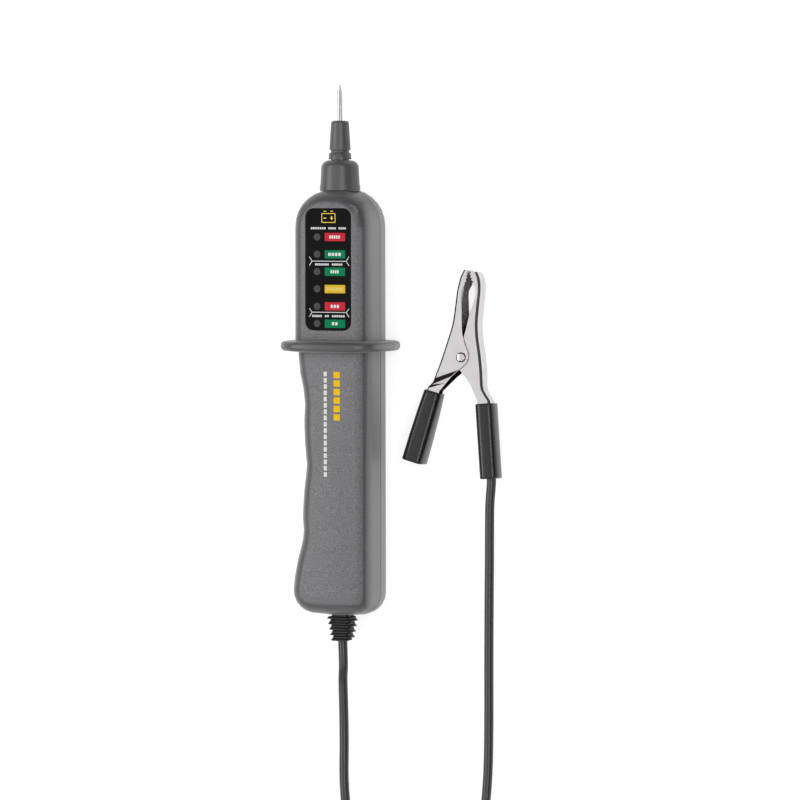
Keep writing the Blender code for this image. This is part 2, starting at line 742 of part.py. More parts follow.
def make_lamps(finish):
    """Six lamps that share one mesh: lens, flange and two legs down to the board."""
    crown = LAMP_RADIUS / 3
    top = FRONT_HEIGHT - LAMP_FLANGE_Z
    profile = [(LAMP_FLANGE_RADIUS, 0), (LAMP_FLANGE_RADIUS, LAMP_FLANGE_HEIGHT), (LAMP_RADIUS, LAMP_FLANGE_HEIGHT)]
    profile += [(LAMP_RADIUS, top - crown), (LAMP_RADIUS - crown, top)]
    lamp = solid("lamp", turned(profile, LAMP_STEPS), finish)
    foot = BOARD_TOP_Z + SEAT_GAP - LAMP_FLANGE_Z
    half = LAMP_LEG / 2
    legs = []
    for x in (-LAMP_LEG_SPACING / 2, LAMP_LEG_SPACING / 2):
        legs.append(box((x - half, -half, foot), (x + half, half, LAMP_FLANGE_HEIGHT / 2)))
    combine(lamp, solid("tool", joined(legs), None), "UNION")
    lamps = []
    for k, y in enumerate(lamp_places()):
        copy = lamp if k == 0 else lamp.copy()
        copy.name = f"lamp_{k + 1}"
        copy.location = (LAMP_X, y, LAMP_FLANGE_Z)
        if k:
            bpy.context.scene.collection.objects.link(copy)
        lamps.append(copy)
    return lamps


def board_bottom():
    """Height of the board's rear side."""
    return BOARD_TOP_Z - BOARD_THICKNESS


def make_board(finish):
    """The circuit board between the posts of the two shells."""
    low, high = (-BOARD_WIDTH / 2, BOARD_LOW_Y), (BOARD_WIDTH / 2, BOARD_HIGH_Y)
    outline = rounded_rectangle(low, high, BOARD_CORNER, 2)
    return solid("circuit_board", plate(outline, board_bottom(), BOARD_TOP_Z), finish)


def make_chip(finish):
    """The comparator on the board's rear side, with seven bent legs on each side."""
    top = board_bottom() - SEAT_GAP
    low = (-CHIP_WIDTH / 2, CHIP_Y - CHIP_LENGTH / 2, top - CHIP_HEIGHT)
    chip = solid("comparator_chip", box(low, (CHIP_WIDTH / 2, CHIP_Y + CHIP_LENGTH / 2, top)), finish)
    half = CHIP_LEG_WIDTH / 2
    reach = CHIP_WIDTH / 2 + CHIP_LEG_REACH
    middle = top - CHIP_HEIGHT / 2
    legs = []
    for k in range(CHIP_LEGS_A_SIDE):
        y = CHIP_Y + (k - (CHIP_LEGS_A_SIDE - 1) / 2) * CHIP_LEG_PITCH
        for side in (-1, 1):
            root = side * (CHIP_WIDTH / 2 - half)
            bend = side * (CHIP_WIDTH / 2 + CHIP_LEG_REACH / 2)
            tip = side * reach
            outline = [(root, middle - half), (bend, middle - half), (tip, top - half), (tip, top)]
            outline += [(bend, top), (root, middle + half)]
            legs.append(loft([[(x, y - half, z) for x, z in outline], [(x, y + half, z) for x, z in outline]]))
    combine(chip, solid("tool", joined(legs), None), "UNION")
    return chip


def axial_part(length, radius, lead, lead_length):
    """A turned part with a wire at each end and slightly thicker ends, along X."""
    half = length / 2
    end = half + lead_length
    side = [(lead, half), (radius, half), (radius * 0.88, half * 0.5)]
    profile = [(lead, -end)] + [(r, -z) for r, z in side] + side[::-1] + [(lead, end)]
    return moved(turned(profile, RESISTOR_STEPS), Matrix.Rotation(math.pi / 2, 4, "Y"))


def make_resistors(finish):
    """Five resistors that share one mesh, each between two lamps' rows."""
    mesh = axial_part(RESISTOR_LENGTH, RESISTOR_RADIUS, RESISTOR_LEAD, RESISTOR_LEAD_LENGTH)
    first = solid("resistor_1", mesh, finish)
    resistors = []
    for k in range(RESISTOR_COUNT):
        copy = first if k == 0 else first.copy()
        copy.name = f"resistor_{k + 1}"
        y = LAMP_FIRST_Y - (k + 0.5) * LAMP_PITCH
        copy.location = (RESISTOR_X, y, BOARD_TOP_Z + SEAT_GAP + RESISTOR_RADIUS)
        if k:
            bpy.context.scene.collection.objects.link(copy)
        resistors.append(copy)
    return resistors


def make_diode(finish):
    """The polarity diode at the board's lead end."""
    diode = solid("polarity_diode", axial_part(DIODE_LENGTH, DIODE_RADIUS, DIODE_LEAD, RESISTOR_LEAD_LENGTH), finish)
    diode.location = (RESISTOR_X, DIODE_Y, BOARD_TOP_Z + SEAT_GAP + DIODE_RADIUS)
    return diode


def make_screws(finish):
    """Four self-tapping screws that share one mesh, entering from the rear."""
    pan = SCREW_HEAD_HEIGHT
    profile = [(SCREW_HEAD_RADIUS * 0.7, -pan), (SCREW_HEAD_RADIUS, -pan * 0.6), (SCREW_HEAD_RADIUS, 0)]
    profile += [(SCREW_RADIUS, 0), (SCREW_RADIUS, SCREW_LENGTH - SCREW_RADIUS), (SCREW_RADIUS / 3, SCREW_LENGTH)]
    screw = solid("shell_screw_1", turned(profile, SMALL_ROUND_STEPS), finish)
    arm, half = SCREW_HEAD_RADIUS * 0.62, SCREW_SLOT / 2
    low, high = -2 * pan, SCREW_SLOT_DEPTH - pan
    combine(screw, solid("tool", box((-arm, -half, low), (arm, half, high)), None), "DIFFERENCE")
    combine(screw, solid("tool", box((-half, -arm, low), (half, arm, high)), None), "DIFFERENCE")
    screws = []
    for k, (x, y) in enumerate(SCREW_PLACES):
        copy = screw if k == 0 else screw.copy()
        copy.name = f"shell_screw_{k + 1}"
        copy.location = (x, y, SCREW_SEAT_Z - SEAT_GAP)
        if k:
            bpy.context.scene.collection.objects.link(copy)
        screws.append(copy)
    return screws


def octagon(x, y, half_width, half_depth, chamfer):
    """A chamfered rectangle across the lead's axis."""
    w, d = half_width, half_depth
    a, b = w - chamfer, d - chamfer
    corners = [(w, b), (a, d), (-a, d), (-w, b), (-w, -b), (-a, -d), (a, -d), (w, -b)]
    return [(x + u, y, v) for u, v in corners]


def relief_end():
    """Where the strain relief ends."""
    return TAIL_Y - TAIL_CROWN - SEAT_GAP - RELIEF_LENGTH


def relief_seat():
    """Where the strain relief's flange starts, clear of the tail wall, which leans in towards the front."""
    lean = FRONT_LEAN * RELIEF_FLANGE / (FRONT_HEIGHT - FACE_RISE)
    return TAIL_Y + WALL + lean + SEAT_GAP


def make_relief(finish):
    """Ribbed strain relief: flange inside the tail wall, neck through it, staggered ribs outside."""
    top = TAIL_Y - TAIL_CROWN - SEAT_GAP
    inside = relief_seat()
    cut = RELIEF_CHAMFER
    rings = [octagon(RELIEF_X, inside + RELIEF_FLANGE_THICKNESS, RELIEF_FLANGE, RELIEF_FLANGE, cut)]
    rings.append(octagon(RELIEF_X, inside, RELIEF_FLANGE, RELIEF_FLANGE, cut))
    rings.append(octagon(RELIEF_X, inside, RELIEF_NECK, RELIEF_NECK, cut))
    rings.append(octagon(RELIEF_X, top, RELIEF_NECK, RELIEF_NECK, cut))
    pitch = RELIEF_LENGTH / RELIEF_RIBS
    for k in range(RELIEF_RIBS):
        share = k / (RELIEF_RIBS - 1)
        half = RELIEF_HEAD + (RELIEF_FOOT - RELIEF_HEAD) * share
        depth = RELIEF_HEAD_DEPTH + (RELIEF_FOOT_DEPTH - RELIEF_HEAD_DEPTH) * share
        x = RELIEF_X + (RELIEF_STAGGER if k % 2 else -RELIEF_STAGGER)
        for step, groove in ((0.0, RELIEF_GROOVE), (0.35, 0.0), (0.75, 0.0)):
            y = top - (k + step * 0.98 + 0.01) * pitch
            rings.append(octagon(x, y, half - groove, depth - groove, cut))
    bore = (LEAD_RADIUS + SEAT_GAP) / math.cos(math.pi / 8)
    corner = bore * (math.cos(math.pi / 8) - math.sin(math.pi / 8))
    flat = bore * math.cos(math.pi / 8)
    rings.append(octagon(RELIEF_X, relief_end(), flat, flat, corner))
    rings.append(octagon(RELIEF_X, inside + RELIEF_FLANGE_THICKNESS, flat, flat, corner))
    return solid("strain_relief", loft(rings, closed=True), finish)


def tube(name, points, radius, finish):
    """A round cord along the points, closed at its ends."""
    curve = bpy.data.curves.new(name, "CURVE")
    curve.dimensions = "3D"
    curve.bevel_depth = radius
    curve.bevel_resolution = 2
    curve.use_fill_caps = True
    spline = curve.splines.new("POLY")
    spline.points.add(len(points) - 1)
    for knot, place in zip(spline.points, points):
        knot.co = (*place, 1.0)
    curve.materials.append(finish)
    made = bpy.data.objects.new(name, curve)
    bpy.context.scene.collection.objects.link(made)
    return made


def make_probe_wire(finish):
    """The wire from the needle's inner end to the rear side of the board."""
    under = board_bottom() - SEAT_GAP - PROBE_WIRE_RADIUS
    route = [(0, NEEDLE_INNER_Y - SEAT_GAP, 0), (0.0003, 0.0515, 0.0003), (0.0016, 0.0496, 0.0013)]
    route += [(0.0033, 0.0472, 0.0026), (0.0040, 0.0440, under)]
    return tube("probe_wire", smooth_path(route, 0.0012), PROBE_WIRE_RADIUS, finish)


def make_inner_lead(finish):
    """The lead inside the strain relief and the handle, past the two bosses to the rear of the board."""
    under = board_bottom() - SEAT_GAP - LEAD_RADIUS
    clear = BOSS_RADIUS + LEAD_RADIUS + SEAT_GAP
    (high_x, high_y), (low_x, low_y) = SCREW_PLACES[2:]
    board_x = POST_X - POST_RADIUS - LEAD_RADIUS - 4 * SEAT_GAP
    route = [(RELIEF_X, relief_end(), 0), (RELIEF_X, relief_seat() + RELIEF_FLANGE_THICKNESS + 2 * SEAT_GAP, 0)]
    route += [(low_x + 0.3 * clear, low_y - 1.9 * clear, 0), (low_x + 1.1 * clear, low_y - 0.8 * clear, 0)]
    route += [(low_x + 1.3 * clear, low_y + 0.8 * clear, 0), (high_x + 1.3 * clear, high_y - 0.8 * clear, 0)]
    route += [(high_x + 1.3 * clear, high_y + 1.2 * clear, 0), (board_x + 0.4 * clear, BOARD_LOW_Y - 2 * clear, 0)]
    route += [(board_x, BOARD_LOW_Y - LEAD_RADIUS, under), (board_x, BOARD_LOW_Y + clear, under)]
    return tube("inner_lead", smooth_path(route, LEAD_POINT_SPACING), LEAD_RADIUS, finish)


def lay():
    """The tilt and height at which the tester rests on its guard's rear edge and its tail."""
    guard = [(y, inset - REAR_DEPTH - GUARD_REACH) for y, inset in guard_edge()]
    bottom = min(y for x, y in housing_outline())
    tail = [(bottom + inset, -depth) for inset, depth in rear_profile()]
    angle = 0.0
    for _ in range(12):
        def height(place, tilt=angle):
            return place[0] * math.sin(tilt) + place[1] * math.cos(tilt)
        g, t = min(guard, key=height), min(tail, key=height)
        angle = math.atan2(t[1] - g[1], g[0] - t[0])
    return angle, -min(y * math.sin(angle) + z * math.cos(angle) for y, z in guard)


def tester_place():
    """Transform from the tester's own frame to the table's, with the origin under its middle."""
    angle, height = lay()
    far = relief_end() * math.cos(angle) - (RELIEF_FOOT_DEPTH - RELIEF_GROOVE) * math.sin(angle)
    middle = (TIP_Y * math.cos(angle) + far) / 2
    return Matrix.Translation((0, -middle, height)) @ Matrix.Rotation(angle, 4, "X")


def arm_stations(arm, grip_top, grip_foot, length):
    """The arm's pairs of points with its handle added along the grip's axis, made smooth."""
    top, foot = Vector(grip_top), Vector(grip_foot)
    ahead = (foot - top).normalized()
    side = Vector((-ahead.y, ahead.x)) * HANDLE_HALF_WIDTH
    if (Vector(arm[0][0]) - Vector(arm[0][1])).x * side.x < 0:
        side = -side
    pairs = [(*fold, *mouth) for fold, mouth in arm]
    for distance in (-HANDLE_LEAD_IN, length):
        centre = top + ahead * distance
        pairs.append((*(centre + side), *(centre - side)))
    path = smooth_path_4d(pairs[:-1]) + pairs[-1:]
    return [(Vector(p[:2]), Vector(p[2:])) for p in path]


def smooth_path_4d(rows, steps=2):
    """A smooth curve through rows of four numbers."""
    rows = [[2 * a - b for a, b in zip(rows[0], rows[1])], *rows, [2 * a - b for a, b in zip(rows[-1], rows[-2])]]
    path = [tuple(rows[1])]
    for a, b, c, d in zip(rows, rows[1:], rows[2:], rows[3:]):
        for k in range(1, steps + 1):
            t = k / steps
            point = []
            for p, q, r, s in zip(a, b, c, d):
                bend = (2 * p - 5 * q + 4 * r - s) * t**2 + (3 * q - p - 3 * r + s) * t**3
                point.append(q + ((r - p) * t + bend) / 2)
            path.append(tuple(point))
    return path


def half_depth_at(v, jaw_half, handle_half):
    """The channel's half depth: full at the jaw, narrower from the rivet to the handle."""
    share = (NARROWING_START - v) / (NARROWING_START - NARROWING_END)
    return jaw_half + (handle_half - jaw_half) * min(1.0, max(0.0, share))


def channel_ring(fold, mouth, half):
    """One U-shaped section of folded sheet, from one cheek's edge round the fold to the other's."""
    across = mouth - fold
    inward = across.normalized()
    e = FOLD_ROUNDING
    outside = [(across.length, half), (e, half), (e * 0.29, half - e * 0.29), (0.0, half - e)]
    outside += [(s, -z) for s, z in reversed(outside)]
    inside = [(SHEET, half - SHEET), (across.length, half - SHEET)]
    section = outside + [(s, -z) for s, z in reversed(inside)] + inside
    return [(*(fold + inward * s), z) for s, z in section]


def toothed(stations, phase):
    """The stations with teeth cut into the mouth edge near the tip."""
    tip = stations[0][1].y
    start = tip - TEETH_LENGTH
    plain = [s for s in stations if s[1].y < start]
    made = []
    count = 2 * round(TEETH_LENGTH / TOOTH_PITCH)
    rows = [s for s in stations if s[1].y >= start - TOOTH_PITCH] + plain[:1]
    for k in range(count + 1):
        y = tip - TEETH_LENGTH * k / count
        for (fold_a, mouth_a), (fold_b, mouth_b) in zip(rows, rows[1:]):
            if mouth_a.y >= y >= mouth_b.y:
                t = (mouth_a.y - y) / max(mouth_a.y - mouth_b.y, 1e-9)
                fold, mouth = fold_a.lerp(fold_b, t), mouth_a.lerp(mouth_b, t)
                offset = TOOTH_DEPTH / 2 if (k + phase) % 2 else -TOOTH_DEPTH / 2
                made.append((fold, mouth + Vector((offset, 0))))
                break
    return made + plain


def make_arm(name, arm, grip, length, halves, finish):
    """One folded arm of the clip: a channel of sheet with teeth and a rivet hole."""
    stations = toothed(arm_stations(arm, *grip, length), 0)
    rings = []
    for fold, mouth in stations:
        rings.append(channel_ring(fold, mouth, half_depth_at((fold.y + mouth.y) / 2, *halves)))
    made = solid(name, loft(rings), finish)
    reach = FREE_HALF_DEPTH * 2
    hole = upright(0, 0, RIVET_RADIUS + SLIDE_GAP, -reach, reach, ROUND_STEPS)
    combine(made, solid("tool", hole, None), "DIFFERENCE")
    shade(made.data, FOLD_CREASE_ANGLE)
    return made


def make_rivet(finish):
    """The rivet with its two domed heads outside the free jaw's cheeks."""
    face = FREE_HALF_DEPTH + SLIDE_GAP
    h, r = RIVET_HEAD_HEIGHT, RIVET_HEAD_RADIUS
    head = [(RIVET_RADIUS, face), (r, face), (r, face + h * 0.35), (r * 0.8, face + h * 0.8), (r * 0.35, face + h)]
    profile = [(a, -z) for a, z in reversed(head)] + head
    return solid("clip_rivet", turned(profile, ROUND_STEPS), finish)


def tangent_angle(foot, side):
    """Where on the spring's coil a straight leg to the foot leaves it."""
    away = math.hypot(*foot)
    return math.atan2(foot[1], foot[0]) + side * math.acos(SPRING_RADIUS / away)


def make_spring(finish):
    """The torsion spring round the rivet, with a leg against each arm's fold."""
    start = tangent_angle(SPRING_FIXED_FOOT, 1)
    end = tangent_angle(SPRING_FREE_FOOT, -1) % math.tau + math.tau * SPRING_TURNS
    rise = SPRING_PITCH * (end - start) / math.tau
    count = round((end - start) / (math.tau / 9))
    points = [(*SPRING_FIXED_FOOT, -rise / 2)]
    for k in range(count + 1):
        angle = start + (end - start) * k / count
        height = rise * (k / count - 0.5)
        points.append((SPRING_RADIUS * math.cos(angle), SPRING_RADIUS * math.sin(angle), height))
    points.append((*SPRING_FREE_FOOT, rise / 2))
    return tube("clip_spring", points, SPRING_WIRE_RADIUS, finish)


def grip_ring(centre, ahead, half_width, half_depth, corner):
    """One section of a grip: a rounded rectangle across its axis."""
    side = Vector((-ahead.y, ahead.x))
    outline = rounded_rectangle((-half_width, -half_depth), (half_width, half_depth), corner, 3)
    return [(*(centre + side * u), z) for u, z in outline]


def make_grip(name, grip, handle_half, foot_half, finish):
    """A vinyl sleeve, open at both ends, that flares from the arm to its foot."""
    top, foot = Vector(grip[0]), Vector(grip[1])
    ahead = (foot - top).normalized()
    inner_top = HANDLE_HALF_WIDTH + SEAT_GAP, handle_half + SEAT_GAP
    outer_top = [value + GRIP_WALL for value in inner_top]
    lip = GRIP_WALL * 0.35
    length = (foot - top).length
    outside, inside = [], []
    for share in (0.0, lip / length, 0.3, 0.65, 1 - lip / length, 1.0):
        blend = share * (2 - share)
        halves = [a + (b - a) * blend for a, b in zip(outer_top, foot_half)]
        trim = lip if share in (0.0, 1.0) else 0.0
        centre = top + ahead * (length * share)
        outside.append(grip_ring(centre, ahead, halves[0] - trim, halves[1] - trim, GRIP_CORNER - trim))
        bore = [value - GRIP_WALL for value in halves]
        inside.append(grip_ring(centre, ahead, *bore, GRIP_BORE_CORNER))
    return solid(name, loft(outside + inside[::-1], closed=True), finish)


def grip_axis(grip, distance):
    """A point on a grip's axis, that far from its top, in the clip's frame."""
    top, foot = Vector(grip[0]), Vector(grip[1])
    return top + (foot - top).normalized() * distance


def make_crimp(finish):
    """The crimped barrel at the end of the fixed arm, round the lead's conductor."""
    waist = CRIMP_RADIUS * 0.8
    end = CRIMP_LENGTH / 2
    side = [(CRIMP_RADIUS * 0.9, end), (CRIMP_RADIUS, end * 0.9), (CRIMP_RADIUS, end * 0.45), (waist, end * 0.25)]
    profile = [(r, -z) for r, z in side] + side[::-1]
    crimp = solid("lead_crimp", turned(profile, SMALL_ROUND_STEPS), finish)
    top, foot = Vector(FIXED_GRIP_TOP), Vector(FIXED_GRIP_FOOT)
    ahead = (foot - top).normalized()
    place = grip_axis((FIXED_GRIP_TOP, FIXED_GRIP_FOOT), FIXED_HANDLE_LENGTH + SEAT_GAP + end)
    crimp.location = (*place, 0)
    crimp.rotation_euler = (math.pi / 2, 0, math.atan2(ahead.y, ahead.x) - math.pi / 2)
    return crimp


def make_coil(finish):
    """The neat coil of spare lead as one ring."""
    low = (COIL_MEAN_RADIUS - COIL_HALF_WIDTH, COIL_LIFT)
    high = (COIL_MEAN_RADIUS + COIL_HALF_WIDTH, COIL_LIFT + COIL_HEIGHT)
    coil = solid("lead_coil", turned(rounded_rectangle(low, high, COIL_EDGE, 1), COLLAR_STEPS, closed=True), finish)
    coil.location = (COIL_CENTRE_X, COIL_CENTRE_Y, 0)
    return coil


def make_tie(finish):
    """The flat tie round the coil's bundle."""
    rings = []
    half = TIE_WIDTH / 2
    for reach, across in ((0.0, -half), (TIE_THICKNESS, -half), (TIE_THICKNESS, half), (0.0, half)):
        grow = SEAT_GAP + reach
        low = (COIL_MEAN_RADIUS - COIL_HALF_WIDTH - grow, COIL_LIFT - grow)
        high = (COIL_MEAN_RADIUS + COIL_HALF_WIDTH + grow, COIL_LIFT + COIL_HEIGHT + grow)
        outline = rounded_rectangle(low, high, COIL_EDGE + grow, 4)
        rings.append([(r, across, z) for r, z in outline])
    tie = solid("coil_tie", loft(rings, closed=True), finish)
    tie.location = (COIL_CENTRE_X, COIL_CENTRE_Y, 0)
    tie.rotation_euler = (0, 0, TIE_AZIMUTH)
    return tie


def make_tester_side_lead(exit_point, out, finish):
    """The lead from the strain relief down to the table and on to the coil."""
    first = exit_point + out * (SEAT_GAP + 0.0095) + Vector((0.0003, 0, 0))
    route = [exit_point + out * SEAT_GAP, first, (0.0004, -0.1270, 0.0062), (0.0000, -0.1405, 0.0035)]
    route += [(-0.0001, -0.1535, 0.0021), (0.0001, -0.1675, 0.00195), (0.0011, -0.1785, 0.00195)]
    route += [(0.0035, -0.1861, 0.00195), (0.0064, -0.1913, 0.0022), (0.0099, -0.1943, 0.0027)]
    return tube("lead_tester_side", smooth_path(route, 0.0080), LEAD_RADIUS, finish)


def make_clip_side_lead(finish):
    """The lead from the coil along the table and up into the fixed grip."""
    grip = (FIXED_GRIP_TOP, FIXED_GRIP_FOOT)
    start = FIXED_HANDLE_LENGTH + 2 * SEAT_GAP + CRIMP_LENGTH
    centre = Vector((CLIP_X, CLIP_Y))
    inside = centre + grip_axis(grip, start)
    mouth = centre + grip_axis(grip, start + 0.0050)
    route = [(0.0515, -0.1943, 0.0027), (0.0550, -0.1913, 0.0022), (0.0579, -0.1861, 0.00195)]
    route += [(0.0602, -0.1785, 0.00195), (0.0614, -0.1665, 0.00195), (0.0612, -0.1435, 0.00195)]
    route += [(0.0607, -0.1185, 0.00195), (0.0603, -0.0935, 0.00195), (0.0602, -0.0785, 0.0022)]
    route += [(0.0604, -0.0655, 0.0034), (0.0609, -0.0545, 0.0050), (mouth.x, mouth.y, CLIP_Z - 0.0003)]
    route.append((inside.x, inside.y, CLIP_Z))
    return tube("lead_clip_side", smooth_path(route, 0.0085), LEAD_RADIUS, finish)


def empty(name, matrix):
    """A frame that other objects are placed in."""
    made = bpy.data.objects.new(name, None)
    bpy.context.scene.collection.objects.link(made)
    made.matrix_world = matrix
    return made


def put_in(frame, objects):
    """Parents the objects to a frame, in which they already have their places."""
    for made in objects:
        made.parent = frame


def make_tester(finishes):
    """All pieces of the tester, in its own frame."""
    shell_finish = finishes["housing_plastic"]
    pieces = [make_front_shell(shell_finish), make_rear_shell(shell_finish), make_collar(shell_finish)]
    pieces += [make_sleeve(shell_finish), make_needle(finishes["polished_steel"]), make_label(finishes["label_film"])]
    pieces += make_lamps(finishes["lamp_plastic"])
    pieces += make_screws(finishes["zinc_steel"])
    pieces += make_resistors(finishes["component_lacquer"])
    pieces += [make_board(finishes["board_laminate"]), make_chip(finishes["chip_epoxy"])]
    pieces += [make_diode(finishes["chip_epoxy"]), make_relief(finishes["black_rubber"])]
    pieces += [make_probe_wire(finishes["wire_insulation"]), make_inner_lead(finishes["black_lead"])]
    return pieces


def make_clip(finishes):
    """The clip's pieces, in its own frame: what stays with the lead, and what turns on the rivet."""
    nickel, vinyl = finishes["nickel_plate"], finishes["black_vinyl"]
    free_grip, fixed_grip = (FREE_GRIP_TOP, FREE_GRIP_FOOT), (FIXED_GRIP_TOP, FIXED_GRIP_FOOT)
    free_halves = (FREE_HALF_DEPTH, FREE_HANDLE_HALF_DEPTH)
    fixed_halves = (FIXED_HALF_DEPTH, FIXED_HANDLE_HALF_DEPTH)
    fixed = [make_arm("fixed_jaw", FIXED_ARM, fixed_grip, FIXED_HANDLE_LENGTH, fixed_halves, nickel)]
    fixed.append(make_grip("fixed_grip", fixed_grip, FIXED_HANDLE_HALF_DEPTH, FIXED_GRIP_FOOT_HALF, vinyl))
    fixed += [make_rivet(nickel), make_spring(finishes["zinc_steel"]), make_crimp(nickel)]
    free = [make_arm("free_jaw", FREE_ARM, free_grip, FREE_HANDLE_LENGTH, free_halves, nickel)]
    free.append(make_grip("free_grip", free_grip, FREE_HANDLE_HALF_DEPTH, FREE_GRIP_FOOT_HALF, vinyl))
    return fixed, free


def make_finishes():
    """The colours and sheens of the real pieces."""
    return {
        "housing_plastic": material("housing_plastic", (0.145, 0.145, 0.147), 0.45),
        "label_film": material("label_film", (0.006, 0.006, 0.006), 0.35),
        "lamp_plastic": material("lamp_plastic", (0.09, 0.09, 0.09), 0.25),
        "polished_steel": material("polished_steel", (0.62, 0.62, 0.63), 0.15, 1.0),
        "nickel_plate": material("nickel_plate", (0.72, 0.71, 0.70), 0.2, 1.0),
        "zinc_steel": material("zinc_steel", (0.55, 0.55, 0.56), 0.35, 1.0),
        "black_rubber": material("black_rubber", (0.015, 0.015, 0.015), 0.6),
        "black_vinyl": material("black_vinyl", (0.022, 0.022, 0.023), 0.4),
        "black_lead": material("black_lead", (0.025, 0.025, 0.025), 0.4),
        "wire_insulation": material("wire_insulation", (0.35, 0.02, 0.02), 0.45),
        "board_laminate": material("board_laminate", (0.02, 0.12, 0.05), 0.5),
        "chip_epoxy": material("chip_epoxy", (0.02, 0.02, 0.02), 0.6),
        "component_lacquer": material("component_lacquer", (0.35, 0.25, 0.14), 0.4),
    }


def main():
    """Clears the scene and builds the tester, its lead and its clip."""
    for old in list(bpy.data.objects):
        bpy.data.objects.remove(old)
    finishes = make_finishes()
    place = tester_place()
    put_in(empty("tester", place), make_tester(finishes))
    clip_place = Matrix.Translation((CLIP_X, CLIP_Y, CLIP_Z))
    fixed, free = make_clip(finishes)
    put_in(empty("clip", clip_place), fixed)
    put_in(empty("clip_hinge", clip_place), free)
    make_coil(finishes["black_lead"])
    make_tie(finishes["black_vinyl"])
    exit_point = place @ Vector((RELIEF_X, relief_end(), 0))
    make_tester_side_lead(exit_point, place.to_3x3() @ Vector((0, -1, 0)), finishes["black_lead"])
    make_clip_side_lead(finishes["black_lead"])


main()
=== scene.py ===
"""Looks for the handheld battery and alternator tester: camera, lead, label print, materials and light."""
import math

import bmesh
import bpy
from mathutils import Matrix, Vector


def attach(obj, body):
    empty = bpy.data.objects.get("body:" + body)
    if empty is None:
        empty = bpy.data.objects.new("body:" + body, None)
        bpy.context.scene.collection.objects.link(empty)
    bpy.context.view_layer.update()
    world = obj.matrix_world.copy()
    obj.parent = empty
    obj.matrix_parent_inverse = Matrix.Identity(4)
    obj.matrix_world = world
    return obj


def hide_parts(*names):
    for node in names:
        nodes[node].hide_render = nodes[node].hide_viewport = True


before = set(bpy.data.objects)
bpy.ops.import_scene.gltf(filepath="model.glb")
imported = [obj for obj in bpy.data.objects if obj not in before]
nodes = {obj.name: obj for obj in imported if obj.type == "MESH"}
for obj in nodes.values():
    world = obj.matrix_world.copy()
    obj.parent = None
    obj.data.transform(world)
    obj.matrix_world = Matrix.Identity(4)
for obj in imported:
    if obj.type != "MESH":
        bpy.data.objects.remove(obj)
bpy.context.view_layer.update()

MM = 0.001

# The tester's own frame on the table, as part.py lays it
GUARD_CENTRE = Vector((0, 0.00652, 0.01565))
LAY = math.radians(3.257)
TESTER = Matrix.Translation(GUARD_CENTRE) @ Matrix.Rotation(LAY, 4, "X")
FACE_Z = 0.01345

# Camera: metres per pixel, distance, degrees to the tester's right, and the pixels from the guard to the middle
PIXEL = 0.0004
CAMERA_DISTANCE = 1.8
CAMERA_ROLL = 20
PIXELS_RIGHT = 59.8
PIXELS_DOWN = 53.0

# Printing on the label, in millimetres: the lamps' column and rows, and the coloured fields beside them
LAMP_X = -4.7
TOP_LAMP_Y = 44.2
LAMP_PITCH = 6.88
LAMP_RADIUS = 1.42
FIELD_LEFT = -1.45
FIELD_RIGHT = 7.21
FIELD_HALF = 1.65
# How tall the dashes of the headings are, and how wide the lines of the brackets and the battery sign
HEADING_HEIGHT = 0.85
LINE = 0.28
# Heights over the film in metres: of the ink's underside, of the ink, and of ink printed over other ink
INK_FOOT = 0.000005
INK = 0.00003
OVERPRINT = 0.00005

# Lead: Ø3.8 mm, the same route as part.py's solids
LEAD_RADIUS = 0.0019
LEAD_EXIT = TESTER @ Vector((0.0010, -0.1180, 0))
COIL_CENTRE = Vector((0.0307, -0.2100, 0))
COIL_MEAN_RADIUS = 0.0200
COIL_TURNS = 4.5
# How high the lead's middle is where it lies on the table
TABLE_Z = 0.00195

# The housing's own measures in metres, for its texture: the finger guard's middle and half thickness, the edge and
# straight length of the textured strip on the right with the depth it reaches below the face, and the collar's foot
GUARD_Y = 0.0006
GUARD_HALF = 0.0027
STRIP_X = 0.007
STRIP_MIDDLE = -0.027
STRIP_HALF = 0.075
STRIP_DEPTH = 0.0014
COLLAR_FOOT_Y = 0.060

# The clip's, in the shared frame in metres: between its lower and upper cheeks, between its two arms, and where
# the free arm starts to narrow
BETWEEN_CHEEKS_Z = 0.0085
BETWEEN_ARMS_X = 0.050
NARROWING_Y = -0.009

# Light: how far and how long the softboxes are, and how bright the room and the table's glow
SOFTBOX_DISTANCE = 1.5
SOFTBOX_LENGTH = 1.8
CEILING = 0.92
WALLS = 0.08
CARD = 0.55
TABLE_GLOW = 0.76


# Camera

def place_camera():
    """Looks down on the table, from somewhat to the tester's right, with the tester's length upright."""
    roll = math.radians(CAMERA_ROLL)
    toward = Vector((math.sin(roll), 0, math.cos(roll)))
    tester_axis = TESTER.to_3x3() @ Vector((0, 1, 0))
    up = (tester_axis - toward * tester_axis.dot(toward)).normalized()
    right = up.cross(toward)
    target = GUARD_CENTRE + right * (PIXELS_RIGHT * PIXEL) - up * (PIXELS_DOWN * PIXEL)
    data = bpy.data.cameras.new("camera")
    data.sensor_width = 36
    data.lens = data.sensor_width * CAMERA_DISTANCE / (800 * PIXEL)
    data.clip_end = 20
    camera = bpy.data.objects.new("camera", data)
    bpy.context.scene.collection.objects.link(camera)
    turn = Matrix((right, up, toward)).transposed().to_4x4()
    camera.matrix_world = Matrix.Translation(target + toward * CAMERA_DISTANCE) @ turn
    bpy.context.scene.camera = camera


# Shapes

def piece(name, mesh, material):
    """A smooth-shaded object from a bmesh."""
    data = bpy.data.meshes.new(name)
    mesh.to_mesh(data)
    mesh.free()
    data.shade_smooth()
    data.set_sharp_from_angle(angle=math.radians(35))
    data.materials.append(material)
    made = bpy.data.objects.new(name, data)
    bpy.context.scene.collection.objects.link(made)
    return made


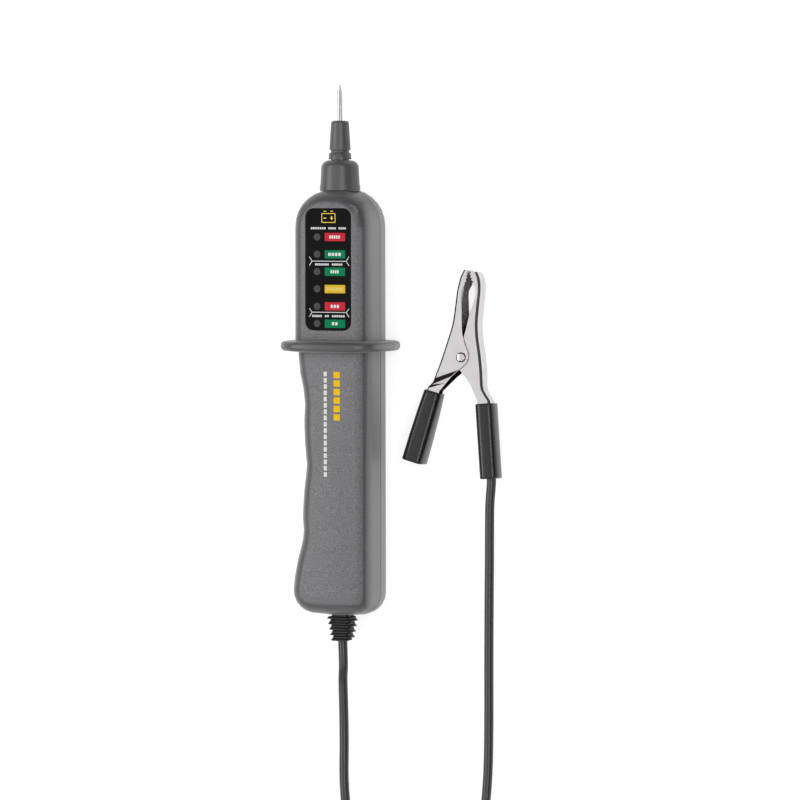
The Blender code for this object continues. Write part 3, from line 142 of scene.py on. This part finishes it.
def smooth_path(points, steps):
    """A smooth curve through the points."""
    places = [2 * points[0] - points[1], *points, 2 * points[-1] - points[-2]]
    path = [places[1]]
    for a, b, c, d in zip(places, places[1:], places[2:], places[3:]):
        for k in range(1, steps + 1):
            t = k / steps
            bend = (2 * a - 5 * b + 4 * c - d) * t**2 + (3 * b - a - 3 * c + d) * t**3
            path.append(b + ((c - a) * t + bend) / 2)
    return path


def lead_route():
    """Out of the strain relief, down to the table, four and a half turns of coil, and up into the clip's grip."""
    out = TESTER.to_3x3() @ Vector((0, -1, 0))
    route = [LEAD_EXIT, LEAD_EXIT + out * 0.0098 + Vector((0.0003, 0, 0))]
    route += [Vector(p) for p in ((0.0004, -0.1270, 0.0062), (0.0000, -0.1405, 0.0035), (-0.0001, -0.1535, 0.0021))]
    route += [Vector(p) for p in ((0.0001, -0.1675, TABLE_Z), (0.0014, -0.1800, TABLE_Z), (0.0038, -0.1945, TABLE_Z))]
    # Bottom layer winds inwards, top layer winds back out, a lead's width apart
    width = 2 * LEAD_RADIUS
    outer = COIL_MEAN_RADIUS + 1.333 * width
    inner = outer - 2.4 * width
    for k in range(int(COIL_TURNS * 16) + 1):
        turn = k / 16
        climb = min(1.0, max(0.0, (turn - 2.35) / 0.3))
        radius = outer - width * min(turn, 2.4) if turn < 2.5 else inner + width * max(0.0, turn - 2.6)
        angle = math.pi + math.tau * turn
        height = TABLE_Z + width * climb * climb * (3 - 2 * climb)
        route.append(COIL_CENTRE + Vector((radius * math.cos(angle), radius * math.sin(angle), height)))
    route += [Vector(p) for p in ((0.0554, -0.1985, 0.0042), (0.0583, -0.1870, 0.0022), (0.0602, -0.1770, TABLE_Z))]
    route += [Vector(p) for p in ((0.0612, -0.1620, TABLE_Z), (0.0612, -0.1435, TABLE_Z), (0.0607, -0.1185, TABLE_Z))]
    route += [Vector(p) for p in ((0.0603, -0.0935, TABLE_Z), (0.0602, -0.0785, 0.0022), (0.0604, -0.0655, 0.0034))]
    route += [Vector(p) for p in ((0.0609, -0.0545, 0.0050), (0.06161, -0.04608, 0.0057), (0.06118, -0.0411, 0.0060))]
    return smooth_path(route, 3)


def make_lead(material):
    """The lead as one round tube along its whole route."""
    path = lead_route()
    curve = bpy.data.curves.new("tester_lead", "CURVE")
    curve.dimensions = "3D"
    curve.bevel_depth = LEAD_RADIUS
    curve.bevel_resolution = 5
    curve.use_fill_caps = True
    spline = curve.splines.new("POLY")
    spline.points.add(len(path) - 1)
    for knot, place in zip(spline.points, path):
        knot.co = (*place, 1.0)
    curve.materials.append(material)
    lead = bpy.data.objects.new("tester_lead", curve)
    bpy.context.scene.collection.objects.link(lead)
    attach(lead, "tester")
    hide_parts("lead_tester_side", "lead_coil", "lead_clip_side")


def print_patch(outline, lift=INK):
    """A printed area a few hundredths of a millimetre thick, on the tester's front face; outline in millimetres."""
    mesh = bmesh.new()
    low = [mesh.verts.new(TESTER @ Vector((x * MM, y * MM, FACE_Z + INK_FOOT))) for x, y in outline]
    high = [mesh.verts.new(TESTER @ Vector((x * MM, y * MM, FACE_Z + lift))) for x, y in outline]
    for k in range(len(outline)):
        m = (k + 1) % len(outline)
        mesh.faces.new((low[k], low[m], high[m], high[k]))
    mesh.faces.new(low)
    mesh.faces.new(high)
    bmesh.ops.recalc_face_normals(mesh, faces=mesh.faces)
    return mesh


def rounded_bar(x0, y0, x1, y1, radius):
    """A rectangle with round corners, in millimetres."""
    points = []
    left, right, low, high = x0 + radius, x1 - radius, y0 + radius, y1 - radius
    for k, (x, y) in enumerate(((right, low), (right, high), (left, high), (left, low))):
        for j in range(4):
            angle = (k - 1 + j / 3) * math.pi / 2
            points.append((x + radius * math.cos(angle), y + radius * math.sin(angle)))
    return points


def stroke(points, width):
    """The outline of a line of even width through the points, in millimetres."""
    left, right = [], []
    for k, point in enumerate(points):
        before = Vector(points[max(k - 1, 0)])
        after = Vector(points[min(k + 1, len(points) - 1)])
        across = (after - before).orthogonal().normalized() * (width / 2)
        left.append(tuple(Vector(point) + across))
        right.append(tuple(Vector(point) - across))
    return left + right[::-1]


def merged(meshes):
    """Several separate bodies as one bmesh."""
    whole = bmesh.new()
    for mesh in meshes:
        data = bpy.data.meshes.new("part")
        mesh.to_mesh(data)
        mesh.free()
        whole.from_mesh(data)
        bpy.data.meshes.remove(data)
    return whole


def dashes(start, end, middle, height, count, upright=False):
    """A row of short separate dashes; rows on the label run across it, and upright ones along the handle."""
    pitch = (end - start) / count
    made = []
    for k in range(count):
        a, b = start + pitch * (k + 0.13), start + pitch * (k + 0.87)
        low, high = middle - height / 2, middle + height / 2
        outline = rounded_bar(low, a, high, b, 0.15) if upright else rounded_bar(a, low, b, high, 0.15)
        made.append(print_patch(outline, INK if upright else OVERPRINT))
    return made


def bracket(y, up, down):
    """A thin line across the label at a height in millimetres, whose two ends fork up and down."""
    lines = [[(-6.81, y), (7.67, y)]]
    for x, far in ((-6.81, -8.0), (7.67, 8.86)):
        lines += [[(x, y), (far, y + up)], [(x, y), (far, y - down)]]
    return [print_patch(stroke(line, LINE)) for line in lines]


def battery_sign():
    """A battery in outline at the label's top, with its two terminals and its poles' signs; in millimetres."""
    made = []
    outline = [(-2.66, 49.95), (2.98, 49.95), (2.98, 53.5), (-2.66, 53.5), (-2.66, 49.95)]
    for a, b in zip(outline, outline[1:]):
        made.append(print_patch(stroke([a, b], LINE)))
    for x in (-1.35, 1.5):
        made.append(print_patch(rounded_bar(x - 0.55, 54.25, x + 0.55, 54.55, 0.1)))
        made.append(print_patch(rounded_bar(x - 0.55, 51.5, x + 0.55, 51.9, 0.05)))
    made.append(print_patch(rounded_bar(1.3, 50.95, 1.7, 51.48, 0.05)))
    made.append(print_patch(rounded_bar(1.3, 51.92, 1.7, 52.45, 0.05)))
    return made


def make_print(finishes):
    """The printing: coloured fields beside the lamps, brackets, rows of dashes and a battery sign."""
    lamp_y = [TOP_LAMP_Y - LAMP_PITCH * k for k in range(6)]
    colours = ("red", "green", "green", "yellow", "red", "green")
    rows = ((0.4, 5.1, 5), (-0.1, 5.6, 4), (0.9, 4.6, 4), (-0.9, 6.4, 7), (0.9, 4.8, 3), (1.4, 4.2, 2))
    fields = {"red": [], "green": [], "yellow": []}
    bright, faint = [], []
    for y, colour, (start, end, count) in zip(lamp_y, colours, rows):
        field = rounded_bar(FIELD_LEFT, y - FIELD_HALF, FIELD_RIGHT, y + FIELD_HALF, 0.25)
        fields[colour].append(print_patch(field))
        row = dashes(start, end, y, 1.25, count)
        if colour == "yellow":
            faint += row
        else:
            bright += row
    headings = ((47.65, -7.39, -0.9, 7), (47.65, 0.0, 3.4, 4), (47.65, 4.3, 7.6, 4),
                (33.3, -5.62, 0.4, 7), (33.3, 1.5, 6.1, 5),
                (12.8, -6.92, -2.6, 5), (12.8, -1.5, 0.4, 2), (12.8, 1.5, 7.11, 6))
    for y, start, end, count in headings:
        bright += dashes(start, end, y, HEADING_HEIGHT, count)
    bright += bracket(34.6, 1.8, 1.8) + bracket(14.3, 1.5, 1.8)
    bright += dashes(-51.5, -8.96, -1.25, 1.3, 17, upright=True)
    made = [piece("print_white", merged(bright), finishes["white_ink"])]
    made.append(piece("print_pale_yellow", merged(faint), finishes["pale_yellow_ink"]))
    for colour, meshes in fields.items():
        made.append(piece(f"print_{colour}", merged(meshes), finishes[f"{colour}_ink"]))
    made.append(piece("print_battery_sign", merged(battery_sign()), finishes["sign_ink"]))
    discs = []
    for y in lamp_y:
        turn = [math.tau * k / 24 for k in range(24)]
        rim = [(LAMP_X + LAMP_RADIUS * math.cos(a), y + LAMP_RADIUS * math.sin(a)) for a in turn]
        discs.append(print_patch(rim))
    made.append(piece("lamp_windows", merged(discs), finishes["window_film"]))
    blocks = dashes(-29.1, -8.9, 3.6, 2.6, 6, upright=True)
    made.append(piece("print_handle_blocks", merged(blocks), finishes["handle_yellow_ink"]))
    for one in made:
        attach(one, "tester")


# Materials

def linear(colour):
    """An sRGB hex colour as linear RGBA."""
    values = [int(colour[k:k + 2], 16) / 255 for k in (1, 3, 5)]
    return (*[v / 12.92 if v <= 0.04045 else ((v + 0.055) / 1.055) ** 2.4 for v in values], 1.0)


def add(tree, kind, links=None, **settings):
    """Adds a node, with its settings and socket values, and links outputs to its named inputs."""
    node = tree.nodes.new(kind)
    for name, value in settings.items():
        setattr(node, name, value)
    for name, value in (links or {}).items():
        socket = node.inputs[name]
        if isinstance(value, bpy.types.NodeSocket):
            tree.links.new(value, socket)
        else:
            socket.default_value = value
    return node


def finish(name, colour, roughness, **sockets):
    """A new material with its shader's constants set; returns the material, its tree and shader."""
    material = bpy.data.materials.new(name)
    material.use_nodes = True
    tree = material.node_tree
    shader = tree.nodes["Principled BSDF"]
    shader.inputs["Base Color"].default_value = linear(colour)
    shader.inputs["Roughness"].default_value = roughness
    for key, value in sockets.items():
        shader.inputs[key.replace("_", " ")].default_value = value
    return material, tree, shader


def moulded_abs():
    """Dark grey injection-moulded ABS: spark-eroded grain on the display face, a smooth satin elsewhere, and painted
    light that makes the steep side walls paler.
    """
    material, tree, shader = finish("moulded_abs", "#5e5e60", 0.42, IOR=1.53, Sheen_Weight=0.3, Sheen_Roughness=0.35)
    place = add(tree, "ShaderNodeTexCoord").outputs["Object"]
    own = add(tree, "ShaderNodeMapping", {"Vector": place, "Location": tuple(GUARD_CENTRE), "Rotation": (LAY, 0, 0)},
              vector_type="TEXTURE")
    parts = add(tree, "ShaderNodeSeparateXYZ", {"Vector": own.outputs["Vector"]})
    # The mould is textured over the face and a strip on its right, and not on the finger guard
    right = add(tree, "ShaderNodeMath", {0: parts.outputs["X"], 1: STRIP_X}, operation="GREATER_THAN")
    straight = add(tree, "ShaderNodeMath", {0: parts.outputs["Y"], 1: STRIP_MIDDLE, 2: STRIP_HALF},
                   operation="COMPARE")
    strip = add(tree, "ShaderNodeMath", {0: right.outputs[0], 1: straight.outputs[0]}, operation="MULTIPLY")
    level = add(tree, "ShaderNodeMath", {0: strip.outputs[0], 1: STRIP_DEPTH, 2: parts.outputs["Z"]},
                operation="MULTIPLY_ADD")
    # The texture fades out between 0.75 and 0.15 mm below the face's own height
    face = add(tree, "ShaderNodeMapRange", {"Value": level.outputs[0], "From Min": FACE_Z - 0.00075,
                                            "From Max": FACE_Z - 0.00015})
    from_guard = add(tree, "ShaderNodeMath", {0: parts.outputs["Y"], 1: GUARD_Y, 2: GUARD_HALF},
                     operation="COMPARE")
    off_guard = add(tree, "ShaderNodeMath", {0: 1.0, 1: from_guard.outputs[0]}, operation="SUBTRACT")
    grained = add(tree, "ShaderNodeMath", {0: face.outputs["Result"], 1: off_guard.outputs[0]},
                  operation="MULTIPLY").outputs[0]
    # Real pits are about 0.15 mm across; these are drawn 0.45 mm apart, so that they show
    pits = add(tree, "ShaderNodeTexNoise", {"Vector": place, "Scale": 1 / 0.00045, "Detail": 2.0, "Roughness": 0.6})
    depth = add(tree, "ShaderNodeMath", {0: pits.outputs["Fac"], 1: grained}, operation="MULTIPLY")
    bump = add(tree, "ShaderNodeBump", {"Height": depth.outputs[0], "Strength": 0.6, "Distance": 0.00006})
    tree.links.new(bump.outputs["Normal"], shader.inputs["Normal"])
    speck = add(tree, "ShaderNodeMapRange", {"Value": pits.outputs["Fac"], "From Min": 0.3, "From Max": 0.7})
    shades = add(tree, "ShaderNodeMix", {"Factor": speck.outputs["Result"]}, data_type="RGBA")
    shades.inputs["A"].default_value = linear("#4e4e50")
    shades.inputs["B"].default_value = linear("#7c7c7e")
    # The smooth flanks carry only the slow unevenness of the moulding, some 6 mm across
    flow = add(tree, "ShaderNodeTexNoise", {"Vector": place, "Scale": 1 / 0.006, "Detail": 1.0})
    smooth = add(tree, "ShaderNodeMix", {"Factor": flow.outputs["Fac"]}, data_type="RGBA")
    smooth.inputs["A"].default_value = linear("#48484a")
    smooth.inputs["B"].default_value = linear("#545456")
    # Painted light: the drafted side walls of the handle and head are coloured paler, as if lit more brightly
    facing = add(tree, "ShaderNodeSeparateXYZ", {"Vector": add(tree, "ShaderNodeNewGeometry").outputs["Normal"]})
    sideways = add(tree, "ShaderNodeMath", {0: facing.outputs["X"]}, operation="ABSOLUTE")
    steep = add(tree, "ShaderNodeMapRange", {"Value": sideways.outputs[0], "From Min": 0.72, "From Max": 0.98})
    below_collar = add(tree, "ShaderNodeMath", {0: parts.outputs["Y"], 1: COLLAR_FOOT_Y}, operation="LESS_THAN")
    wall = add(tree, "ShaderNodeMath", {0: steep.outputs["Result"], 1: below_collar.outputs[0]}, operation="MULTIPLY")
    painted_wall_light = add(tree, "ShaderNodeMix", {"Factor": wall.outputs[0]}, data_type="RGBA")
    tree.links.new(smooth.outputs["Result"], painted_wall_light.inputs["A"])
    painted_wall_light.inputs["B"].default_value = linear("#98989a")
    whole = add(tree, "ShaderNodeMix", {"Factor": grained}, data_type="RGBA")
    tree.links.new(painted_wall_light.outputs["Result"], whole.inputs["A"])
    tree.links.new(shades.outputs["Result"], whole.inputs["B"])
    tree.links.new(whole.outputs["Result"], shader.inputs["Base Color"])
    rough = add(tree, "ShaderNodeMapRange", {"Value": grained, "To Min": 0.38, "To Max": 0.55})
    tree.links.new(rough.outputs["Result"], shader.inputs["Roughness"])
    return material


def label_film():
    """Black polyester film, screen printed from behind: an even satin black with a faint orange peel."""
    material, tree, shader = finish("label_film", "#121213", 0.32, IOR=1.57, Specular_IOR_Level=0.04)
    place = add(tree, "ShaderNodeTexCoord").outputs["Object"]
    peel = add(tree, "ShaderNodeTexNoise", {"Vector": place, "Scale": 1 / 0.0012, "Detail": 1.0})
    bump = add(tree, "ShaderNodeBump", {"Height": peel.outputs["Fac"], "Strength": 0.15, "Distance": 0.00003})
    tree.links.new(bump.outputs["Normal"], shader.inputs["Normal"])
    return material


def ink(name, colour, darker):
    """Screen-printing ink on the film: opaque, with the slight unevenness of the mesh it was pulled through."""
    material, tree, shader = finish(name, colour, 0.38, IOR=1.5, Specular_IOR_Level=0.06)
    place = add(tree, "ShaderNodeTexCoord").outputs["Object"]
    # A printing mesh of about 0.3 mm between threads
    weave = add(tree, "ShaderNodeTexNoise", {"Vector": place, "Scale": 1 / 0.0003, "Detail": 1.0})
    shades = add(tree, "ShaderNodeMix", {"Factor": weave.outputs["Fac"]}, data_type="RGBA")
    shades.inputs["A"].default_value = linear(darker)
    shades.inputs["B"].default_value = linear(colour)
    tree.links.new(shades.outputs["Result"], shader.inputs["Base Color"])
    return material


def lamp_epoxy():
    """Smoke-grey cast epoxy of an unlit lamp: glossy and a little cloudy."""
    material, tree, shader = finish("lamp_epoxy", "#4a4a4c", 0.30, IOR=1.54, Specular_IOR_Level=0.3)
    place = add(tree, "ShaderNodeTexCoord").outputs["Object"]
    cloud = add(tree, "ShaderNodeTexNoise", {"Vector": place, "Scale": 1 / 0.001, "Detail": 1.0})
    shades = add(tree, "ShaderNodeMix", {"Factor": cloud.outputs["Fac"]}, data_type="RGBA")
    shades.inputs["A"].default_value = linear("#444446")
    shades.inputs["B"].default_value = linear("#505052")
    tree.links.new(shades.outputs["Result"], shader.inputs["Base Color"])
    return material


def metal(name, colour, darker, roughness, grit, depth):
    """A metal surface with fine marks of the given spacing in metres; returns the material, tree and shader."""
    material, tree, shader = finish(name, colour, roughness, Metallic=1.0)
    place = add(tree, "ShaderNodeTexCoord").outputs["Object"]
    marks = add(tree, "ShaderNodeTexNoise", {"Vector": place, "Scale": 1 / grit, "Detail": 1.0})
    shades = add(tree, "ShaderNodeMix", {"Factor": marks.outputs["Fac"]}, data_type="RGBA")
    shades.inputs["A"].default_value = linear(darker)
    shades.inputs["B"].default_value = linear(colour)
    tree.links.new(shades.outputs["Result"], shader.inputs["Base Color"])
    rough = add(tree, "ShaderNodeMapRange", {"Value": marks.outputs["Fac"], "To Min": roughness * 0.7,
                                             "To Max": roughness * 1.3})
    tree.links.new(rough.outputs["Result"], shader.inputs["Roughness"])
    bump = add(tree, "ShaderNodeBump", {"Height": marks.outputs["Fac"], "Strength": 0.3, "Distance": depth})
    tree.links.new(bump.outputs["Normal"], shader.inputs["Normal"])
    return material, tree, shader


def nickel_plate():
    """Bright nickel over pressed steel, with painted shade inside the folded channel and a painted dark line of shade
    along its folds.
    """
    # Broad soft waves of the pressing, about 4 mm apart
    material, tree, shader = metal("nickel_plate", "#d2cecf", "#cac6c7", 0.22, 0.004, 0.000004)
    spot = add(tree, "ShaderNodeSeparateXYZ", {"Vector": add(tree, "ShaderNodeTexCoord").outputs["Object"]})
    facing = add(tree, "ShaderNodeSeparateXYZ", {"Vector": add(tree, "ShaderNodeNewGeometry").outputs["True Normal"]})
    # Painted shade: the lower cheek's inner side, which faces up below the upper cheek, is coloured dark grey
    low = add(tree, "ShaderNodeMath", {0: spot.outputs["Z"], 1: BETWEEN_CHEEKS_Z}, operation="LESS_THAN")
    upward = add(tree, "ShaderNodeMath", {0: facing.outputs["Z"], 1: 0.5}, operation="GREATER_THAN")
    inside = add(tree, "ShaderNodeMath", {0: low.outputs[0], 1: upward.outputs[0]}, operation="MULTIPLY")
    shades = add(tree, "ShaderNodeMix", {"Factor": inside.outputs[0]}, data_type="RGBA")
    shades.inputs["B"].default_value = linear("#585656")
    tree.links.new(shader.inputs["Base Color"].links[0].from_socket, shades.inputs["A"])
    # Painted shade: a dark line along the outside of each fold, but not where the free arm narrows
    bend = add(tree, "ShaderNodeMath", {0: facing.outputs["Z"], 1: 0.62, 2: 0.34}, operation="COMPARE")
    fixed_side = add(tree, "ShaderNodeMath", {0: spot.outputs["X"], 1: BETWEEN_ARMS_X}, operation="GREATER_THAN")
    jaws_end = add(tree, "ShaderNodeMath", {0: spot.outputs["Y"], 1: NARROWING_Y}, operation="GREATER_THAN")
    either = add(tree, "ShaderNodeMath", {0: fixed_side.outputs[0], 1: jaws_end.outputs[0]}, operation="MAXIMUM")
    painted_fold_shade = add(tree, "ShaderNodeMath", {0: bend.outputs[0], 1: either.outputs[0]}, operation="MULTIPLY")
    folds = add(tree, "ShaderNodeMix", {"Factor": painted_fold_shade.outputs[0]}, data_type="RGBA")
    folds.inputs["B"].default_value = linear("#302e2e")
    tree.links.new(shades.outputs["Result"], folds.inputs["A"])
    tree.links.new(folds.outputs["Result"], shader.inputs["Base Color"])
    return material


def soft_black(name, colour, lighter, roughness, spacing, depth, specular=0.5, ridge=0.0):
    """A soft skin with an unevenness of the given spacing, and edges that look round to a radius; in metres."""
    material, tree, shader = finish(name, colour, roughness, IOR=1.5, Specular_IOR_Level=specular)
    place = add(tree, "ShaderNodeTexCoord").outputs["Object"]
    waves = add(tree, "ShaderNodeTexNoise", {"Vector": place, "Scale": 1 / spacing, "Detail": 2.0})
    shades = add(tree, "ShaderNodeMix", {"Factor": waves.outputs["Fac"]}, data_type="RGBA")
    shades.inputs["A"].default_value = linear(colour)
    shades.inputs["B"].default_value = linear(lighter)
    tree.links.new(shades.outputs["Result"], shader.inputs["Base Color"])
    bump = add(tree, "ShaderNodeBump", {"Height": waves.outputs["Fac"], "Strength": 0.4, "Distance": depth})
    if ridge:
        round_edge = add(tree, "ShaderNodeBevel", {"Radius": ridge}, samples=8)
        tree.links.new(round_edge.outputs["Normal"], bump.inputs["Normal"])
    tree.links.new(bump.outputs["Normal"], shader.inputs["Normal"])
    return material


def resistor_lacquer():
    """Sand-coloured lacquer with painted bands across the resistor."""
    material, tree, shader = finish("resistor_lacquer", "#c8ac7a", 0.35, IOR=1.5)
    place = add(tree, "ShaderNodeTexCoord").outputs["Object"]
    along = add(tree, "ShaderNodeSeparateXYZ", {"Vector": place}).outputs["X"]
    # Bands about 0.5 mm wide over the 6 mm body
    share = add(tree, "ShaderNodeMapRange", {"Value": along, "From Min": 0.0, "From Max": 0.006})
    bands = add(tree, "ShaderNodeValToRGB", {"Fac": share.outputs["Result"]})
    bands.color_ramp.interpolation = "CONSTANT"
    marks = ((0.0, "#c8ac7a"), (0.2, "#7a4a1e"), (0.28, "#c8ac7a"), (0.38, "#1d1d1d"), (0.46, "#c8ac7a"),
             (0.56, "#a02a20"), (0.64, "#c8ac7a"), (0.78, "#b08c3c"), (0.86, "#c8ac7a"))
    for k, (position, colour) in enumerate(marks):
        stop = bands.color_ramp.elements[0] if k == 0 else bands.color_ramp.elements.new(position)
        stop.position = position
        stop.color = linear(colour)
    tree.links.new(bands.outputs["Color"], shader.inputs["Base Color"])
    return material


def make_finishes():
    """Every finish by name."""
    return {
        "moulded_abs": moulded_abs(),
        "label_film": label_film(),
        "red_ink": ink("red_ink", "#c22d3b", "#b42836"),
        "green_ink": ink("green_ink", "#0b7c52", "#08724a"),
        "yellow_ink": ink("yellow_ink", "#d8b42c", "#c8a424"),
        "sign_ink": ink("sign_ink", "#f6d65c", "#ecca50"),
        "pale_yellow_ink": ink("pale_yellow_ink", "#e0c878", "#d4ba68"),
        "handle_yellow_ink": ink("handle_yellow_ink", "#f0be10", "#deae0c"),
        "white_ink": ink("white_ink", "#dedede", "#cacaca"),
        # The film's frosted windows, which hide the unlit lamps
        "window_film": ink("window_film", "#4b4b4d", "#454547"),
        "lamp_epoxy": lamp_epoxy(),
        # Ground and polished steel rod: marks 0.1 mm apart, drawn at 0.3 mm
        "polished_steel": metal("polished_steel", "#b0b0b4", "#98989c", 0.08, 0.0003, 0.000002)[0],
        "nickel_plate": nickel_plate(),
        "zinc_plate": metal("zinc_plate", "#b4b6ba", "#9a9ca2", 0.34, 0.0006, 0.000006)[0],
        # Moulded nitrile rubber: a matt skin of fine dust and mould marks, 0.4 mm apart
        "moulded_rubber": soft_black("moulded_rubber", "#161617", "#222223", 0.50, 0.0004, 0.00002),
        # Dipped vinyl: satin, with slow waves about 3 mm apart
        "dipped_vinyl": soft_black("dipped_vinyl", "#18181a", "#1e1e20", 0.20, 0.003, 0.00002, 0.45, 0.0016),
        # Extruded PVC sheath: satin, with a faint drag about 1.5 mm apart
        "pvc_sheath": soft_black("pvc_sheath", "#2c2c2d", "#343435", 0.30, 0.0015, 0.00001),
        "red_sheath": soft_black("red_sheath", "#8e1f1c", "#a02824", 0.40, 0.001, 0.00001),
        "board_mask": soft_black("board_mask", "#1d5a34", "#24663c", 0.40, 0.002, 0.00001),
        "chip_epoxy": soft_black("chip_epoxy", "#1a1a1b", "#262627", 0.60, 0.0004, 0.00001),
        "resistor_lacquer": resistor_lacquer(),
    }


def soften(node, crease):
    """Smooth shading over a CAD node's edges that turn by less than the crease angle, in degrees."""
    node.data.shade_smooth()
    weld = node.modifiers.new("weld", "WELD")
    weld.merge_threshold = 0.000001
    split = node.modifiers.new("creases", "EDGE_SPLIT")
    split.split_angle = math.radians(crease)


def paint(finishes):
    """Gives every CAD node its real finish."""
    wearing = {
        "moulded_abs": ["front_shell", "rear_shell", "probe_collar", "probe_sleeve"],
        "label_film": ["display_label"],
        "lamp_epoxy": [f"lamp_{k}" for k in range(1, 7)],
        "polished_steel": ["probe_needle"],
        "nickel_plate": ["fixed_jaw", "free_jaw", "clip_rivet", "lead_crimp"],
        "zinc_plate": ["clip_spring"] + [f"shell_screw_{k}" for k in range(1, 5)],
        "moulded_rubber": ["strain_relief"],
        "dipped_vinyl": ["fixed_grip", "free_grip", "coil_tie"],
        "pvc_sheath": ["inner_lead"],
        "red_sheath": ["probe_wire"],
        "board_mask": ["circuit_board"],
        "chip_epoxy": ["comparator_chip", "polarity_diode"],
        "resistor_lacquer": [f"resistor_{k}" for k in range(1, 6)],
    }
    # Degrees between faces that still shade as one: few on the pressed jaws, more on the moulded shells
    creases = {"front_shell": 30, "rear_shell": 30, "fixed_jaw": 12, "free_jaw": 12}
    for name, worn_by in wearing.items():
        for node in worn_by:
            data = nodes[node].data
            data.materials.clear()
            data.materials.append(finishes[name])
            soften(nodes[node], creases.get(node, 40))


# Stage and light

def make_stage():
    """A pale table that the camera and shiny surfaces see as white, with the object's soft shadow on it."""
    mesh = bmesh.new()
    bmesh.ops.create_grid(mesh, x_segments=1, y_segments=1, size=3.0)
    material = bpy.data.materials.new("table")
    material.use_nodes = True
    tree = material.node_tree
    shader = tree.nodes["Principled BSDF"]
    shader.inputs["Base Color"].default_value = linear("#b4b4b4")
    shader.inputs["Roughness"].default_value = 0.9
    shader.inputs["Specular IOR Level"].default_value = 0.0
    shader.inputs["Emission Color"].default_value = linear("#ffffff")
    rays = add(tree, "ShaderNodeLightPath")
    seen = add(tree, "ShaderNodeMath", {0: rays.outputs["Is Camera Ray"], 1: rays.outputs["Is Glossy Ray"]},
               operation="MAXIMUM")
    glow = add(tree, "ShaderNodeMath", {0: seen.outputs[0], 1: TABLE_GLOW}, operation="MULTIPLY")
    tree.links.new(glow.outputs[0], shader.inputs["Emission Strength"])
    table = piece("table", mesh, material)


def softbox(name, lean, width, radiance):
    """A long soft light along the tester, leaning from the vertical, at a given distance and brightness."""
    tilt = math.radians(lean)
    away = Vector((math.sin(tilt), 0, math.cos(tilt)))
    data = bpy.data.lights.new(name, "AREA")
    data.shape = "RECTANGLE"
    data.size, data.size_y = width, SOFTBOX_LENGTH
    data.energy = radiance * math.pi * width * SOFTBOX_LENGTH
    lamp = bpy.data.objects.new(name, data)
    bpy.context.scene.collection.objects.link(lamp)
    place = Vector((0.02, 0, 0)) + away * SOFTBOX_DISTANCE
    lamp.matrix_world = Matrix.Translation(place) @ Matrix.Rotation(tilt, 4, "Y")


def make_light():
    """A long softbox on either side of the camera, and a lit ceiling over a room with dim walls."""
    softbox("left_softbox", -49, 0.46, 4.6)
    softbox("right_softbox", 33, 0.22, 6.5)
    world = bpy.data.worlds.new("room")
    bpy.context.scene.world = world
    world.use_nodes = True
    tree = world.node_tree
    up = add(tree, "ShaderNodeSeparateXYZ", {"Vector": add(tree, "ShaderNodeTexCoord").outputs["Generated"]})
    # From the dark walls, up to 38 degrees, to the lit ceiling, from 52 degrees
    ceiling = add(tree, "ShaderNodeMapRange", {"Value": up.outputs["Z"], "From Min": 0.62, "From Max": 0.79,
                                               "To Min": WALLS, "To Max": CEILING})
    # The ceiling is brighter on the tester's left
    side = add(tree, "ShaderNodeMapRange", {"Value": up.outputs["X"], "From Min": -0.6, "From Max": 0.6,
                                            "To Min": 1.25, "To Max": 0.75})
    lit = add(tree, "ShaderNodeMath", {0: ceiling.outputs["Result"], 1: side.outputs["Result"]}, operation="MULTIPLY")
    # A pale card stands beyond the lead's end of the table
    card = add(tree, "ShaderNodeMapRange", {"Value": up.outputs["Y"], "From Min": -0.6, "From Max": -0.9,
                                            "To Min": 0.0, "To Max": CARD})
    total = add(tree, "ShaderNodeMath", {0: lit.outputs[0], 1: card.outputs["Result"]}, operation="ADD")
    background = tree.nodes["Background"]
    background.inputs["Color"].default_value = linear("#ffffff")
    tree.links.new(total.outputs[0], background.inputs["Strength"])
    bpy.context.scene.view_settings.view_transform = "Standard"


place_camera()
finishes = make_finishes()
make_lead(finishes["pvc_sheath"])
paint(finishes)
make_print(finishes)
make_stage()
make_light()
